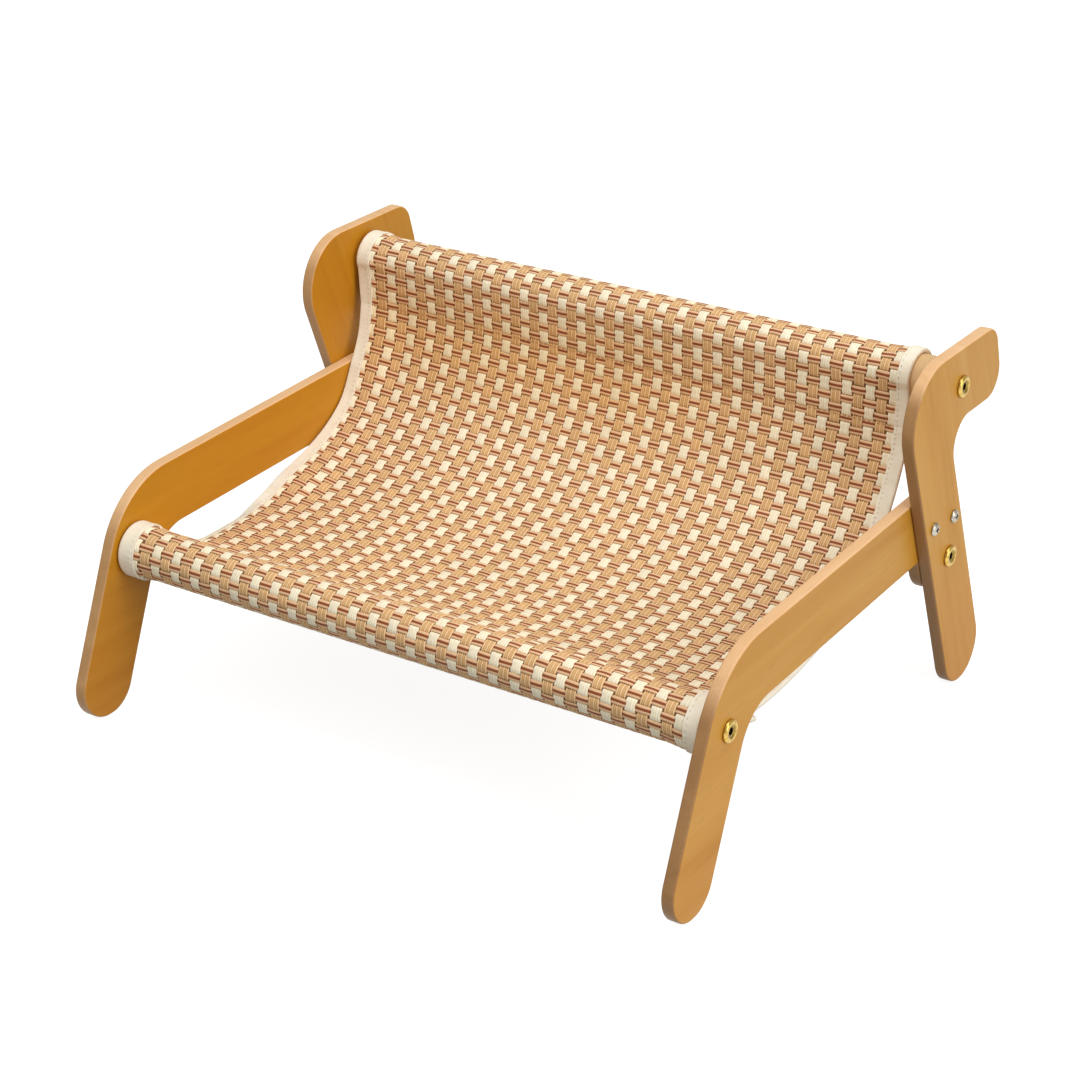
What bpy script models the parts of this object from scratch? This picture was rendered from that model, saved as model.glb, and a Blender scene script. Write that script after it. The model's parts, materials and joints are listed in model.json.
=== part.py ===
"""Rattan cat bed.

Two side frames, each an arm board with a raked front leg fixed against the inside of a raked
upright board, are joined by three round dowels.  A woven sling hangs between the front dowel
and the top dowel, each of which runs through a pocket sewn in the end of the sheet.

Metres, X across the bed, Y from the front to the back, Z up, floor at Z = 0.
"""

import bmesh
import bpy
from math import acos, asin, atan2, ceil, cos, pi, radians, sin, tan
from mathutils import Vector

# Overall sizes
WIDTH = 0.500
FOOT_SPREAD = 0.3522
BOARD = 0.009
EDGE_ROUND = 0.0011
GAP = 0.0003

# Arm board with its front leg
ARM_TOP = 0.1626
ARM_DEPTH = 0.0489
LEG_WIDTH = 0.0488
LEG_LEAN = radians(24.2)
LEG_OUTER_BEND = 0.068
LEG_INNER_BEND = 0.036
ARM_END_ROUND = 0.015
LOBE_CORNER = 0.003

# Upright board with its head
UPRIGHT_WIDTH = 0.0501
UPRIGHT_LEAN = radians(19.23)
HEAD_TILT = radians(1.59)
HEAD_DEPTH = 0.0517
HEAD_ABOVE_BOLT = 0.0272
HEAD_END = 0.0570
HEAD_END_LEAN = radians(15.0)
HEAD_FRONT_BEND = 0.040
HEAD_UNDER_BEND = 0.020
HEAD_TOP_ROUND = 0.017
HEAD_LOW_ROUND = 0.018
FOOT_FLAT = 0.006

# Fixing points seen from the side, those in the arm measured down from its top
FRONT_BOLT_DROP = 0.0496
LOWER_BOLT_DROP = 0.0524
TOP_BOLT_HEIGHT = 0.2326
TOP_BOLT_BACK = 0.0498
SCREW_DROP = 0.0231
SCREW_SPACING = 0.0300
SCREW_TILT = radians(-5.2)

# Dowels
DOWEL_RADIUS = 0.016
DOWEL_CHAMFER = 0.0012

# Bolts and the threaded inserts that take them
BOLT_SHANK = 0.003
BOLT_HEAD = 0.0076
BOLT_HEAD_HEIGHT = 0.0027
BOLT_SOCKET = 0.0020
SHORT_BOLT = 0.030
LONG_BOLT = 0.040
INSERT_RADIUS = 0.005
INSERT_LENGTH = 0.013
INSERT_SOCKET = 0.0039

# Screws
SCREW_SHANK = 0.0020
SCREW_HEAD = 0.0047
SCREW_HEAD_HEIGHT = 0.0024
SCREW_LENGTH = 0.0158
CROSS_REACH = 0.0023

# Sling sheet
SHEET = 0.0014
SEAT_SLOPE = radians(-18.3)
SEAT_PULL = 0.0348
REST_SLOPE = radians(77.4)
REST_PULL = 0.1238
FRONT_SEAM_REACH = 0.0470
TOP_SEAM_REACH = 0.0343
TOP_SEAM_LINE = radians(63.0)
POCKET_TAIL = 0.0100
POCKET_EASE = 0.008
MIDDLE_SAG = 0.002
SAG_END = 0.55
SAG_MARGIN = 0.110
FLARE_MARGIN = 0.002
FLARE_RUN = 0.014

# Clearances beside the sling: to the arm boards in front and at its waist, and to the upright
# boards on the top dowel, where the sheet sits nearer the left one
FRONT_CLEARANCE = 0.0012
WAIST_CLEARANCE = 0.0046
TOP_LEFT_CLEARANCE = 0.0065
TOP_RIGHT_CLEARANCE = 0.0167
WAIST_AT = 0.70

# Binding tape along both edges of the sling
TAPE = 0.0008
TAPE_WIDTH = 0.0105

# Fineness of curves
ARC_STEP = radians(9.0)
WRAP_STEP = radians(13.0)
DOWEL_SIDES = 40
FIXING_SIDES = 24
SEAT_STEPS = 20

# Colours
HONEY_WOOD = (0.60, 0.34, 0.12)
DEEP_HONEY_WOOD = (0.56, 0.27, 0.05)
PALE_WOOD = (0.66, 0.46, 0.25)
BRASS = (0.80, 0.58, 0.20)
STEEL = (0.74, 0.74, 0.72)
ZINC = (0.60, 0.61, 0.60)
WOVEN = (0.68, 0.43, 0.22)
CREAM_TAPE = (0.84, 0.75, 0.62)


def clear_scene():
    for obj in list(bpy.data.objects):
        bpy.data.objects.remove(obj, do_unlink=True)


# Plane geometry in the side view, where a point is (y, z)
def heading(angle):
    return Vector((cos(angle), sin(angle)))


def left_of(direction):
    return Vector((-direction.y, direction.x))


def arc(centre, radius, start, end, step=ARC_STEP):
    count = max(2, ceil(abs(end - start) / step))
    return [centre + radius * heading(start + (end - start) * i / count) for i in range(count + 1)]


def crossing(point_a, angle_a, point_b, angle_b):
    da = heading(angle_a)
    db = heading(angle_b)
    between = point_b - point_a
    along = (between.x * db.y - between.y * db.x) / (da.x * db.y - da.y * db.x)
    return point_a + da * along


def rounded_corner(point_a, angle_a, point_b, angle_b, radius, step=ARC_STEP):
    corner = crossing(point_a, angle_a, point_b, angle_b)
    turn = (angle_b - angle_a + pi) % (2 * pi) - pi
    side = 1.0 if turn > 0 else -1.0
    start = corner - heading(angle_a) * radius * tan(abs(turn) / 2)
    normal = left_of(heading(angle_a)) * side
    centre = start + normal * radius
    first = atan2(-normal.y, -normal.x)
    return arc(centre, radius, first, first + turn, step)


def rounded_foot(centre, radius, first, last, drop):
    front = arc(centre, radius, first, 1.5 * pi - drop)
    rear = arc(centre, radius, 1.5 * pi + drop, last)
    return front + rear


# Middle lines of the two legs, and every fixing point worked out from them
LEG_DROP = asin(FOOT_FLAT / LEG_WIDTH)
UPRIGHT_DROP = asin(FOOT_FLAT / UPRIGHT_WIDTH)
LEG_FOOT = Vector((0.0, cos(LEG_DROP) * LEG_WIDTH / 2))
UPRIGHT_FOOT = Vector((FOOT_SPREAD, cos(UPRIGHT_DROP) * UPRIGHT_WIDTH / 2))
LEG_ANGLE = pi / 2 - LEG_LEAN
UPRIGHT_ANGLE = pi / 2 + UPRIGHT_LEAN


def on_leg(height):
    return Vector((LEG_FOOT.x + (height - LEG_FOOT.y) * tan(LEG_LEAN), height))


def on_upright(height):
    return Vector((UPRIGHT_FOOT.x - (height - UPRIGHT_FOOT.y) * tan(UPRIGHT_LEAN), height))


FRONT_BOLT = on_leg(ARM_TOP - FRONT_BOLT_DROP)
LOWER_BOLT = on_upright(ARM_TOP - LOWER_BOLT_DROP)
TOP_BOLT = on_upright(TOP_BOLT_HEIGHT) + Vector((TOP_BOLT_BACK, 0.0))
SCREW_MIDDLE = on_upright(ARM_TOP - SCREW_DROP)
SCREWS = {
    "front": SCREW_MIDDLE - heading(SCREW_TILT) * SCREW_SPACING / 2,
    "rear": SCREW_MIDDLE + heading(SCREW_TILT) * SCREW_SPACING / 2,
}


def arm_outline():
    leg_side = left_of(heading(LEG_ANGLE)) * LEG_WIDTH / 2
    upright_side = left_of(heading(UPRIGHT_ANGLE)) * UPRIGHT_WIDTH / 2
    top = Vector((0.0, ARM_TOP))
    bottom = Vector((0.0, ARM_TOP - ARM_DEPTH))
    down_upright = UPRIGHT_ANGLE - pi
    outline = rounded_foot(LEG_FOOT, LEG_WIDTH / 2, LEG_ANGLE + pi / 2, LEG_ANGLE + 1.5 * pi, LEG_DROP)
    outline += rounded_corner(LEG_FOOT - leg_side, LEG_ANGLE, bottom, 0.0, LEG_INNER_BEND)
    outline += rounded_corner(bottom, 0.0, LOWER_BOLT + upright_side, down_upright, LOBE_CORNER, 2 * ARC_STEP)
    outline += arc(LOWER_BOLT, UPRIGHT_WIDTH / 2, UPRIGHT_ANGLE + pi / 2, UPRIGHT_ANGLE + 1.5 * pi)
    outline += rounded_corner(LOWER_BOLT - upright_side, UPRIGHT_ANGLE, top, pi, ARM_END_ROUND)
    outline += rounded_corner(top, pi, LEG_FOOT + leg_side, LEG_ANGLE + pi, LEG_OUTER_BEND)
    return outline


def upright_outline():
    side = left_of(heading(UPRIGHT_ANGLE)) * UPRIGHT_WIDTH / 2
    across = heading(-HEAD_TILT)
    top = TOP_BOLT + left_of(across) * HEAD_ABOVE_BOLT
    under = top - left_of(across) * HEAD_DEPTH
    end = TOP_BOLT + heading(HEAD_END_LEAN) * HEAD_END
    end_angle = pi / 2 + HEAD_END_LEAN
    outline = rounded_foot(
        UPRIGHT_FOOT, UPRIGHT_WIDTH / 2, UPRIGHT_ANGLE + pi / 2, UPRIGHT_ANGLE + 1.5 * pi, UPRIGHT_DROP
    )
    outline += rounded_corner(UPRIGHT_FOOT - side, UPRIGHT_ANGLE, under, -HEAD_TILT, HEAD_UNDER_BEND)
    outline += rounded_corner(under, -HEAD_TILT, end, end_angle, HEAD_LOW_ROUND)
    outline += rounded_corner(end, end_angle, top, pi - HEAD_TILT, HEAD_TOP_ROUND)
    outline += rounded_corner(top, pi - HEAD_TILT, UPRIGHT_FOOT + side, UPRIGHT_ANGLE - pi, HEAD_FRONT_BEND)
    return outline


ARM_OUTLINE = arm_outline()
UPRIGHT_OUTLINE = upright_outline()
FRONT_MOST = min(point.x for point in ARM_OUTLINE)
REAR_MOST = max(point.x for point in UPRIGHT_OUTLINE)
MIDDLE = (FRONT_MOST + REAR_MOST) / 2


# Building objects
def finish_colour(name, colour, roughness, metallic):
    material = bpy.data.materials.new(name + "_finish")
    material.use_nodes = True
    shader = material.node_tree.nodes["Principled BSDF"]
    shader.inputs["Base Color"].default_value = (*colour, 1.0)
    shader.inputs["Roughness"].default_value = roughness
    shader.inputs["Metallic"].default_value = metallic
    material.diffuse_color = (*colour, 1.0)
    return material


def place(name, mesh, look, location=(0.0, 0.0, 0.0), flip=False):
    obj = bpy.data.objects.new(name, mesh)
    bpy.context.scene.collection.objects.link(obj)
    obj.location = location
    if flip:
        obj.rotation_euler = (0.0, 0.0, pi)
    if not mesh.materials:
        mesh.materials.append(None)
    obj.material_slots[0].link = "OBJECT"
    obj.material_slots[0].material = finish_colour(name, *look)
    return obj


def mesh_from(bm, name):
    bmesh.ops.recalc_face_normals(bm, faces=bm.faces[:])
    mesh = bpy.data.meshes.new(name + "_mesh")
    bm.to_mesh(mesh)
    bm.free()
    mesh.shade_smooth()
    mesh.set_sharp_from_angle(angle=radians(32.0))
    return mesh


def board_mesh(name, outline):
    bm = bmesh.new()
    points = [bm.verts.new((0.0, point.x - MIDDLE, point.y)) for point in outline]
    face = bm.faces.new(points)
    raised = bmesh.ops.extrude_face_region(bm, geom=[face])
    moved = [item for item in raised["geom"] if isinstance(item, bmesh.types.BMVert)]
    bmesh.ops.translate(bm, verts=moved, vec=(BOARD, 0.0, 0.0))
    bmesh.ops.remove_doubles(bm, verts=bm.verts[:], dist=0.00001)
    rim = [edge for edge in bm.edges if abs(edge.verts[0].co.x - edge.verts[1].co.x) < BOARD / 2]
    bmesh.ops.bevel(bm, geom=rim, offset=EDGE_ROUND, segments=2, profile=0.5, affect="EDGES")
    return mesh_from(bm, name)


def cut_hole(board, name, point, radius, start, length):
    mesh = bpy.data.meshes.new(name + "_mesh")
    bm = bmesh.new()
    bmesh.ops.create_cone(
        bm, cap_ends=True, segments=FIXING_SIDES, radius1=radius, radius2=radius, depth=length
    )
    bm.to_mesh(mesh)
    bm.free()
    cutter = bpy.data.objects.new(name, mesh)
    bpy.context.scene.collection.objects.link(cutter)
    cutter.rotation_euler = (0.0, pi / 2, 0.0)
    cutter.location = (start + length / 2, point.x - MIDDLE, point.y)
    cutter.hide_render = True
    cutter.display_type = "WIRE"
    cut = board.modifiers.new(name, "BOOLEAN")
    cut.operation = "DIFFERENCE"
    cut.solver = "EXACT"
    cut.object = cutter


def turned_mesh(name, rings, sides, closed=False):
    """Skin successive rings about the X axis; a ring is (x, radius or radius function)."""
    bm = bmesh.new()
    loops = []
    for x, radius in rings:
        if radius == 0:
            loops.append([bm.verts.new((x, 0.0, 0.0))])
            continue
        loop = []
        for i in range(sides):
            angle = 2 * pi * i / sides
            reach = radius(angle) if callable(radius) else radius
            loop.append(bm.verts.new((x, reach * cos(angle), reach * sin(angle))))
        loops.append(loop)
    pairs = list(zip(loops, loops[1:]))
    if closed:
        pairs.append((loops[-1], loops[0]))
    for here, there in pairs:
        for i in range(sides):
            j = (i + 1) % sides
            corners = [here[i % len(here)], here[j % len(here)], there[j % len(there)], there[i % len(there)]]
            unique = list(dict.fromkeys(corners))
            bm.faces.new(unique)
    return mesh_from(bm, name)


def hexagon(flat):
    return lambda angle: flat / cos(angle % (pi / 3) - pi / 6)


def cross(reach):
    """Radius of a plus sign whose arms are as wide as 30 degrees seen from its middle."""
    half = reach * tan(pi / 12)

    def radius(angle):
        turned = (angle + pi / 4) % (pi / 2) - pi / 4
        if abs(turned) < pi / 12 + 0.001:
            return reach / cos(turned)
        return half / abs(sin(turned))

    return radius


# Side frames: the arm board stands directly inside the upright board
UPRIGHT_INNER = WIDTH / 2 - BOARD
ARM_OUTER = UPRIGHT_INNER - GAP
ARM_INNER = ARM_OUTER - BOARD
BOLT_HOLE = BOLT_SHANK + GAP
SCREW_HOLE = SCREW_SHANK + GAP
SCREW_BORE = SCREW_LENGTH - BOARD


def build_boards():
    arm_mesh = board_mesh("arm", ARM_OUTLINE)
    upright_mesh = board_mesh("upright", UPRIGHT_OUTLINE)
    spare = BOARD / 2
    through = BOARD + 2 * spare
    for side, sign in (("left", -1), ("right", 1)):
        arm_start = ARM_INNER if sign > 0 else -ARM_OUTER
        upright_start = UPRIGHT_INNER if sign > 0 else -WIDTH / 2
        wood = DEEP_HONEY_WOOD if sign < 0 else HONEY_WOOD
        arm = place(side + "_arm", arm_mesh, (wood, 0.46, 0.0), (arm_start, 0.0, 0.0))
        upright = place(side + "_upright", upright_mesh, (wood, 0.46, 0.0), (upright_start, 0.0, 0.0))
        cut_hole(arm, side + "_arm_front_cut", FRONT_BOLT, BOLT_HOLE, arm_start - spare, through)
        cut_hole(arm, side + "_arm_lower_cut", LOWER_BOLT, BOLT_HOLE, arm_start - spare, through)
        cut_hole(upright, side + "_upright_lower_cut", LOWER_BOLT, BOLT_HOLE, upright_start - spare, through)
        cut_hole(upright, side + "_upright_top_cut", TOP_BOLT, BOLT_HOLE, upright_start - spare, through)
        bore_start = ARM_OUTER - SCREW_BORE if sign > 0 else -ARM_OUTER - spare
        for place_name, point in SCREWS.items():
            cut_hole(
                upright, side + "_upright_" + place_name + "_screw_cut", point, SCREW_HOLE,
                upright_start - spare, through,
            )
            cut_hole(
                arm, side + "_arm_" + place_name + "_screw_cut", point, SCREW_HOLE,
                bore_start, SCREW_BORE + spare,
            )


# Dowels: turned bars with a stepped bore in each end for the insert and the tip of the bolt
def dowel_mesh(name, half, bore):
    seat = INSERT_RADIUS + GAP
    depth = INSERT_LENGTH + 2 * GAP
    tip = BOLT_SHANK + GAP
    end = [
        (half - bore, 0),
        (half - bore, tip),
        (half - depth, tip),
        (half - depth, seat),
        (half, seat),
        (half, DOWEL_RADIUS - DOWEL_CHAMFER),
        (half - DOWEL_CHAMFER * 0.3, DOWEL_RADIUS - DOWEL_CHAMFER * 0.3),
        (half - DOWEL_CHAMFER, DOWEL_RADIUS),
    ]
    start = [(-x, radius) for x, radius in end]
    return turned_mesh(name, start + end[::-1], DOWEL_SIDES)


def build_dowels():
    inner_half = ARM_INNER - GAP
    top_half = UPRIGHT_INNER - GAP
    front_bore = SHORT_BOLT - BOARD + 5 * GAP
    lower_bore = LONG_BOLT - 2 * BOARD + 5 * GAP
    for name, point, half, bore in (
        ("front_dowel", FRONT_BOLT, inner_half, front_bore),
        ("rear_crossbar", LOWER_BOLT, inner_half, lower_bore),
        ("top_dowel", TOP_BOLT, top_half, front_bore),
    ):
        mesh = dowel_mesh(name, half, bore)
        place(name, mesh, (PALE_WOOD, 0.52, 0.0), (0.0, point.x - MIDDLE, point.y))


# Bolts, inserts and screws: each mesh points towards +X and is turned round for the left side
def bolt_mesh(name, length):
    rim = BOLT_HEAD_HEIGHT
    rings = [
        (-length, 0),
        (-length, BOLT_SHANK * 0.75),
        (-length + BOLT_SHANK * 0.3, BOLT_SHANK),
        (0.0, BOLT_SHANK),
        (0.0, BOLT_HEAD - 0.0002),
        (0.0003, BOLT_HEAD),
        (rim * 0.45, BOLT_HEAD),
        (rim * 0.85, BOLT_HEAD * 0.90),
        (rim, BOLT_HEAD * 0.74),
        (rim * 0.96, BOLT_HEAD * 0.56),
        (rim * 0.82, BOLT_HEAD * 0.42),
        (rim * 0.82, hexagon(BOLT_SOCKET)),
        (rim * 0.12, hexagon(BOLT_SOCKET)),
        (rim * 0.05, 0),
    ]
    return turned_mesh(name, rings, FIXING_SIDES)


def insert_mesh(name):
    deep = INSERT_LENGTH
    bore = BOLT_SHANK + GAP
    rings = [
        (0.0, hexagon(INSERT_SOCKET)),
        (0.0, INSERT_RADIUS),
        (-deep + 0.0008, INSERT_RADIUS),
        (-deep, INSERT_RADIUS - 0.0008),
        (-deep, bore),
        (-0.004, bore),
        (-0.004, hexagon(INSERT_SOCKET)),
    ]
    return turned_mesh(name, rings, FIXING_SIDES, closed=True)


def screw_mesh(name):
    top = SCREW_HEAD_HEIGHT
    rings = [
        (-SCREW_LENGTH + 2 * GAP, 0),
        (-SCREW_LENGTH + SCREW_SHANK, SCREW_SHANK * 0.8),
        (-SCREW_LENGTH + 1.5 * SCREW_SHANK, SCREW_SHANK),
        (0.0, SCREW_SHANK),
        (0.0, SCREW_HEAD - 0.0002),
        (0.0004, SCREW_HEAD),
        (top * 0.45, SCREW_HEAD * 0.96),
        (top * 0.80, SCREW_HEAD * 0.80),
        (top, SCREW_HEAD * 0.54),
        (top * 0.99, cross(CROSS_REACH)),
        (top * 0.42, cross(CROSS_REACH * 0.8)),
        (top * 0.34, 0),
    ]
    return turned_mesh(name, rings, FIXING_SIDES)


def build_fixings():
    short = bolt_mesh("short_bolt", SHORT_BOLT)
    long = bolt_mesh("long_bolt", LONG_BOLT)
    insert = insert_mesh("insert")
    screw = screw_mesh("screw")
    for side, sign in (("left", -1), ("right", 1)):
        left = sign < 0
        for where, point, mesh, face, mouth in (
            ("front", FRONT_BOLT, short, ARM_OUTER, ARM_INNER),
            ("lower", LOWER_BOLT, long, WIDTH / 2, ARM_INNER),
            ("top", TOP_BOLT, short, WIDTH / 2, UPRIGHT_INNER),
        ):
            y = point.x - MIDDLE
            bolt_at = (sign * (face + GAP), y, point.y)
            insert_at = (sign * (mouth - 2 * GAP), y, point.y)
            place(side + "_" + where + "_bolt", mesh, (BRASS, 0.28, 1.0), bolt_at, left)
            place(side + "_" + where + "_insert", insert, (ZINC, 0.40, 1.0), insert_at, left)
        for where, point in SCREWS.items():
            screw_at = (sign * (WIDTH / 2 + GAP), point.x - MIDDLE, point.y)
            place(side + "_" + where + "_screw", screw, (STEEL, 0.30, 1.0), screw_at, left)


# Sling: one path seen from the side, from the end of the front pocket to the end of the top one
TAPE_REACH = SHEET / 2 + GAP + TAPE
WRAP = DOWEL_RADIUS + GAP + SHEET / 2
FLARE = TAPE + GAP
LAYERS = 2 * TAPE_REACH + 2 * GAP
FRONT_HALF = ARM_INNER - FRONT_CLEARANCE
WAIST_HALF = ARM_INNER - WAIST_CLEARANCE
TOP_HALF = UPRIGHT_INNER - (TOP_LEFT_CLEARANCE + TOP_RIGHT_CLEARANCE) / 2
TOP_SHIFT = (TOP_LEFT_CLEARANCE - TOP_RIGHT_CLEARANCE) / 2


def bezier(a, b, c, d, count):
    points = []
    for i in range(count + 1):
        t = i / count
        points.append(a * (1 - t) ** 3 + b * 3 * t * (1 - t) ** 2 + c * 3 * t * t * (1 - t) + d * t ** 3)
    return points


def pocket(centre, seam, slope, turn):
    """Points from the tail of a pocket round its dowel to the seam, where both layers meet.

    The slope is that of the sheet as it runs from the seam to the seat, and the turn is the way
    that it runs round the dowel: 1 from below, in front and over, and -1 the other way.
    """
    under = seam - left_of(heading(slope)) * LAYERS * turn
    tail = under + heading(slope) * POCKET_TAIL
    to_seam = seam - centre
    to_under = under - centre
    leave = atan2(to_seam.y, to_seam.x) + turn * acos(WRAP / to_seam.length)
    enter = atan2(to_under.y, to_under.x) - turn * acos((WRAP + FLARE) / to_under.length)
    sweep = (turn * (enter - leave)) % (2 * pi)
    leaving = centre + heading(leave) * WRAP
    entering = centre + heading(enter) * WRAP
    inward = entering - under
    outward = seam - leaving
    first = rounded_corner(under, slope + pi, entering, atan2(inward.y, inward.x), POCKET_EASE, WRAP_STEP)
    wrap = arc(centre, WRAP, enter, enter - turn * sweep, WRAP_STEP)
    last = rounded_corner(leaving, atan2(outward.y, outward.x), seam, slope, POCKET_EASE, WRAP_STEP)
    return [tail] + first, wrap, last


def sling_path():
    """Points in the side view, each with 1 where the sheet lies round a dowel.

    With them come the places of the rows where it leaves the front dowel and meets the top one.
    """
    seat = heading(SEAT_SLOPE)
    rest = heading(REST_SLOPE)
    front_seam = FRONT_BOLT + seat * FRONT_SEAM_REACH
    top_seam = TOP_BOLT - heading(TOP_SEAM_LINE) * TOP_SEAM_REACH
    front_tail, front_wrap, front_bend = pocket(FRONT_BOLT, front_seam, SEAT_SLOPE, 1)
    top_tail, top_wrap, top_bend = pocket(TOP_BOLT, top_seam, REST_SLOPE + pi, -1)
    seat_handle = front_seam + seat * SEAT_PULL
    rest_handle = top_seam - rest * REST_PULL
    middle = bezier(front_bend[-1], seat_handle, rest_handle, top_bend[-1], SEAT_STEPS)[1:-1]
    rows = [(point, 0.0) for point in front_tail]
    rows += [(point, 1.0) for point in front_wrap]
    rows += [(point, 0.0) for point in front_bend + middle + top_bend[::-1]]
    rows += [(point, 1.0) for point in reversed(top_wrap)]
    rows += [(point, 0.0) for point in reversed(top_tail)]
    leaves = len(front_tail) + len(front_wrap) - 1
    meets = len(rows) - len(top_tail) - len(top_wrap)
    return rows, leaves, meets


def eased(share):
    share = min(1.0, max(0.0, share))
    return (1 - cos(pi * share)) / 2


def path_frames():
    """Point, normal towards the sitter, flare, half width, sideways shift and sag for every row."""
    rows, leaves, meets = sling_path()
    last = len(rows) - 1
    along = [0.0]
    for (here, _), (there, _) in zip(rows, rows[1:]):
        along.append(along[-1] + (there - here).length)
    frames = []
    for i, (point, sleeve) in enumerate(rows):
        normal = left_of((rows[min(i + 1, last)][0] - rows[max(i - 1, 0)][0]).normalized())
        share = min(1.0, max(0.0, (along[i] - along[leaves]) / (along[meets] - along[leaves])))
        if share < WAIST_AT:
            half = FRONT_HALF + (WAIST_HALF - FRONT_HALF) * eased(share / WAIST_AT)
        else:
            half = WAIST_HALF + (TOP_HALF - WAIST_HALF) * eased((share - WAIST_AT) / (1 - WAIST_AT))
        sag = MIDDLE_SAG * sin(pi * min(1.0, share / SAG_END))
        frames.append((point, normal, sleeve * FLARE, half, TOP_SHIFT * share, sag))
    return frames


def sling_point(frame, side, inset, lift, flared=1.0, sagging=0.0):
    """A point of the sling: the inset is from the outside of the tape, and side 0 is the middle."""
    point, normal, flare, half, shift, sag = frame
    spot = point + normal * (lift + flare * flared - sag * sagging)
    return (shift + side * (half - inset), spot.x - MIDDLE, spot.y)


def build_sling():
    edge = TAPE + GAP
    held = TAPE_WIDTH + FLARE_MARGIN
    level = held + FLARE_RUN
    half_columns = [(edge, 1.0, 0.0), (held, 1.0, 0.0), (level, 0.0, 0.0), (SAG_MARGIN, 0.0, 0.75)]
    columns = [(-1, *column) for column in half_columns] + [(0, 0.0, 0.0, 1.0)]
    columns += [(1, *column) for column in reversed(half_columns)]
    frames = path_frames()
    bm = bmesh.new()
    sheets = []
    for lift in (SHEET / 2, -SHEET / 2):
        grid = []
        for frame in frames:
            row = []
            for side, inset, flared, sagging in columns:
                row.append(bm.verts.new(sling_point(frame, side, inset, lift, flared, sagging)))
            grid.append(row)
        sheets.append(grid)
    upper, lower = sheets
    rows = len(frames)
    width = len(columns)
    for i in range(rows - 1):
        for j in range(width - 1):
            bm.faces.new((upper[i][j], upper[i + 1][j], upper[i + 1][j + 1], upper[i][j + 1]))
            bm.faces.new((lower[i][j], lower[i][j + 1], lower[i + 1][j + 1], lower[i + 1][j]))
    for i in range(rows - 1):
        for j in (0, width - 1):
            bm.faces.new((upper[i][j], lower[i][j], lower[i + 1][j], upper[i + 1][j]))
    for j in range(width - 1):
        for i in (0, rows - 1):
            bm.faces.new((upper[i][j], upper[i][j + 1], lower[i][j + 1], lower[i][j]))
    place("sling", mesh_from(bm, "sling"), (WOVEN, 0.75, 0.0))


def build_bindings():
    """A tape folded over each edge of the sheet, following it from pocket tail to pocket tail."""
    inner = SHEET / 2 + GAP
    outer = inner + TAPE
    section = [
        (TAPE_WIDTH, outer), (TAPE * 0.4, outer), (0.0, outer * 0.55), (0.0, -outer * 0.55),
        (TAPE * 0.4, -outer), (TAPE_WIDTH, -outer), (TAPE_WIDTH, -inner), (TAPE, -inner),
        (TAPE, inner), (TAPE_WIDTH, inner),
    ]
    for name, side in (("left_edge_binding", -1), ("right_edge_binding", 1)):
        bm = bmesh.new()
        loops = []
        for frame in path_frames():
            loops.append([bm.verts.new(sling_point(frame, side, inset, lift)) for inset, lift in section])
        count = len(section)
        for here, there in zip(loops, loops[1:]):
            for i in range(count):
                j = (i + 1) % count
                bm.faces.new((here[i], here[j], there[j], there[i]))
        bm.faces.new(loops[0])
        bm.faces.new(loops[-1])
        place(name, mesh_from(bm, name), (CREAM_TAPE, 0.80, 0.0))


clear_scene()
build_boards()
build_dowels()
build_fixings()
build_sling()
build_bindings()
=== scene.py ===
import json
from math import acos, asin, atan2, ceil, cos, pi, radians, sin, tan

import bpy
import numpy as np
from mathutils import Matrix, Vector

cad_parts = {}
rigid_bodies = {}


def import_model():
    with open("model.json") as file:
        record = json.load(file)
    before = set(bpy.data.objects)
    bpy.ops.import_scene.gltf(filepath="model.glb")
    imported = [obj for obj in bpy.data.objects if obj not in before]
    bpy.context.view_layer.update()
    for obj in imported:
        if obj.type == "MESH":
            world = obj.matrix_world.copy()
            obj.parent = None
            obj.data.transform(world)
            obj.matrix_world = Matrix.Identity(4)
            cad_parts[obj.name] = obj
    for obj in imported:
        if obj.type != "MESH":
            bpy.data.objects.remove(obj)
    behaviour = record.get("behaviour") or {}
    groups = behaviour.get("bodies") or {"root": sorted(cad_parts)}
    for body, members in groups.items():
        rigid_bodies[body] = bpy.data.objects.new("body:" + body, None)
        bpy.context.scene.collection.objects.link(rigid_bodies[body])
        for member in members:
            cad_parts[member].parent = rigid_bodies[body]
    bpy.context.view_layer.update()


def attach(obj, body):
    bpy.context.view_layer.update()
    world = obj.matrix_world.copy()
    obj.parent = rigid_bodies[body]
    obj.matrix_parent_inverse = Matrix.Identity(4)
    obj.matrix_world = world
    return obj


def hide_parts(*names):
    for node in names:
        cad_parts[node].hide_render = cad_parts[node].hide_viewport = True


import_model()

# Sizes shared with the solids, in metres
WIDTH = 0.500
FOOT_SPREAD = 0.3522
BOARD = 0.009
GAP = 0.0003
ARM_TOP = 0.1626
ARM_DEPTH = 0.0489
LEG_WIDTH = 0.0488
LEG_LEAN = radians(24.2)
LEG_OUTER_BEND = 0.068
LEG_INNER_BEND = 0.036
ARM_END_ROUND = 0.015
LOBE_CORNER = 0.003
UPRIGHT_WIDTH = 0.0501
UPRIGHT_LEAN = radians(19.23)
HEAD_TILT = radians(1.59)
HEAD_DEPTH = 0.0517
HEAD_ABOVE_BOLT = 0.0272
HEAD_END = 0.0570
HEAD_END_LEAN = radians(15.0)
HEAD_FRONT_BEND = 0.040
HEAD_UNDER_BEND = 0.020
HEAD_TOP_ROUND = 0.017
HEAD_LOW_ROUND = 0.018
FOOT_FLAT = 0.006
FRONT_BOLT_HEIGHT = 0.1130
LOWER_BOLT_HEIGHT = 0.1102
TOP_BOLT_HEIGHT = 0.2326
TOP_BOLT_BACK = 0.0498
SCREW_HEIGHT = 0.1395
SCREW_SPACING = 0.0300
SCREW_TILT = radians(-5.2)
DOWEL_RADIUS = 0.016
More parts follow.
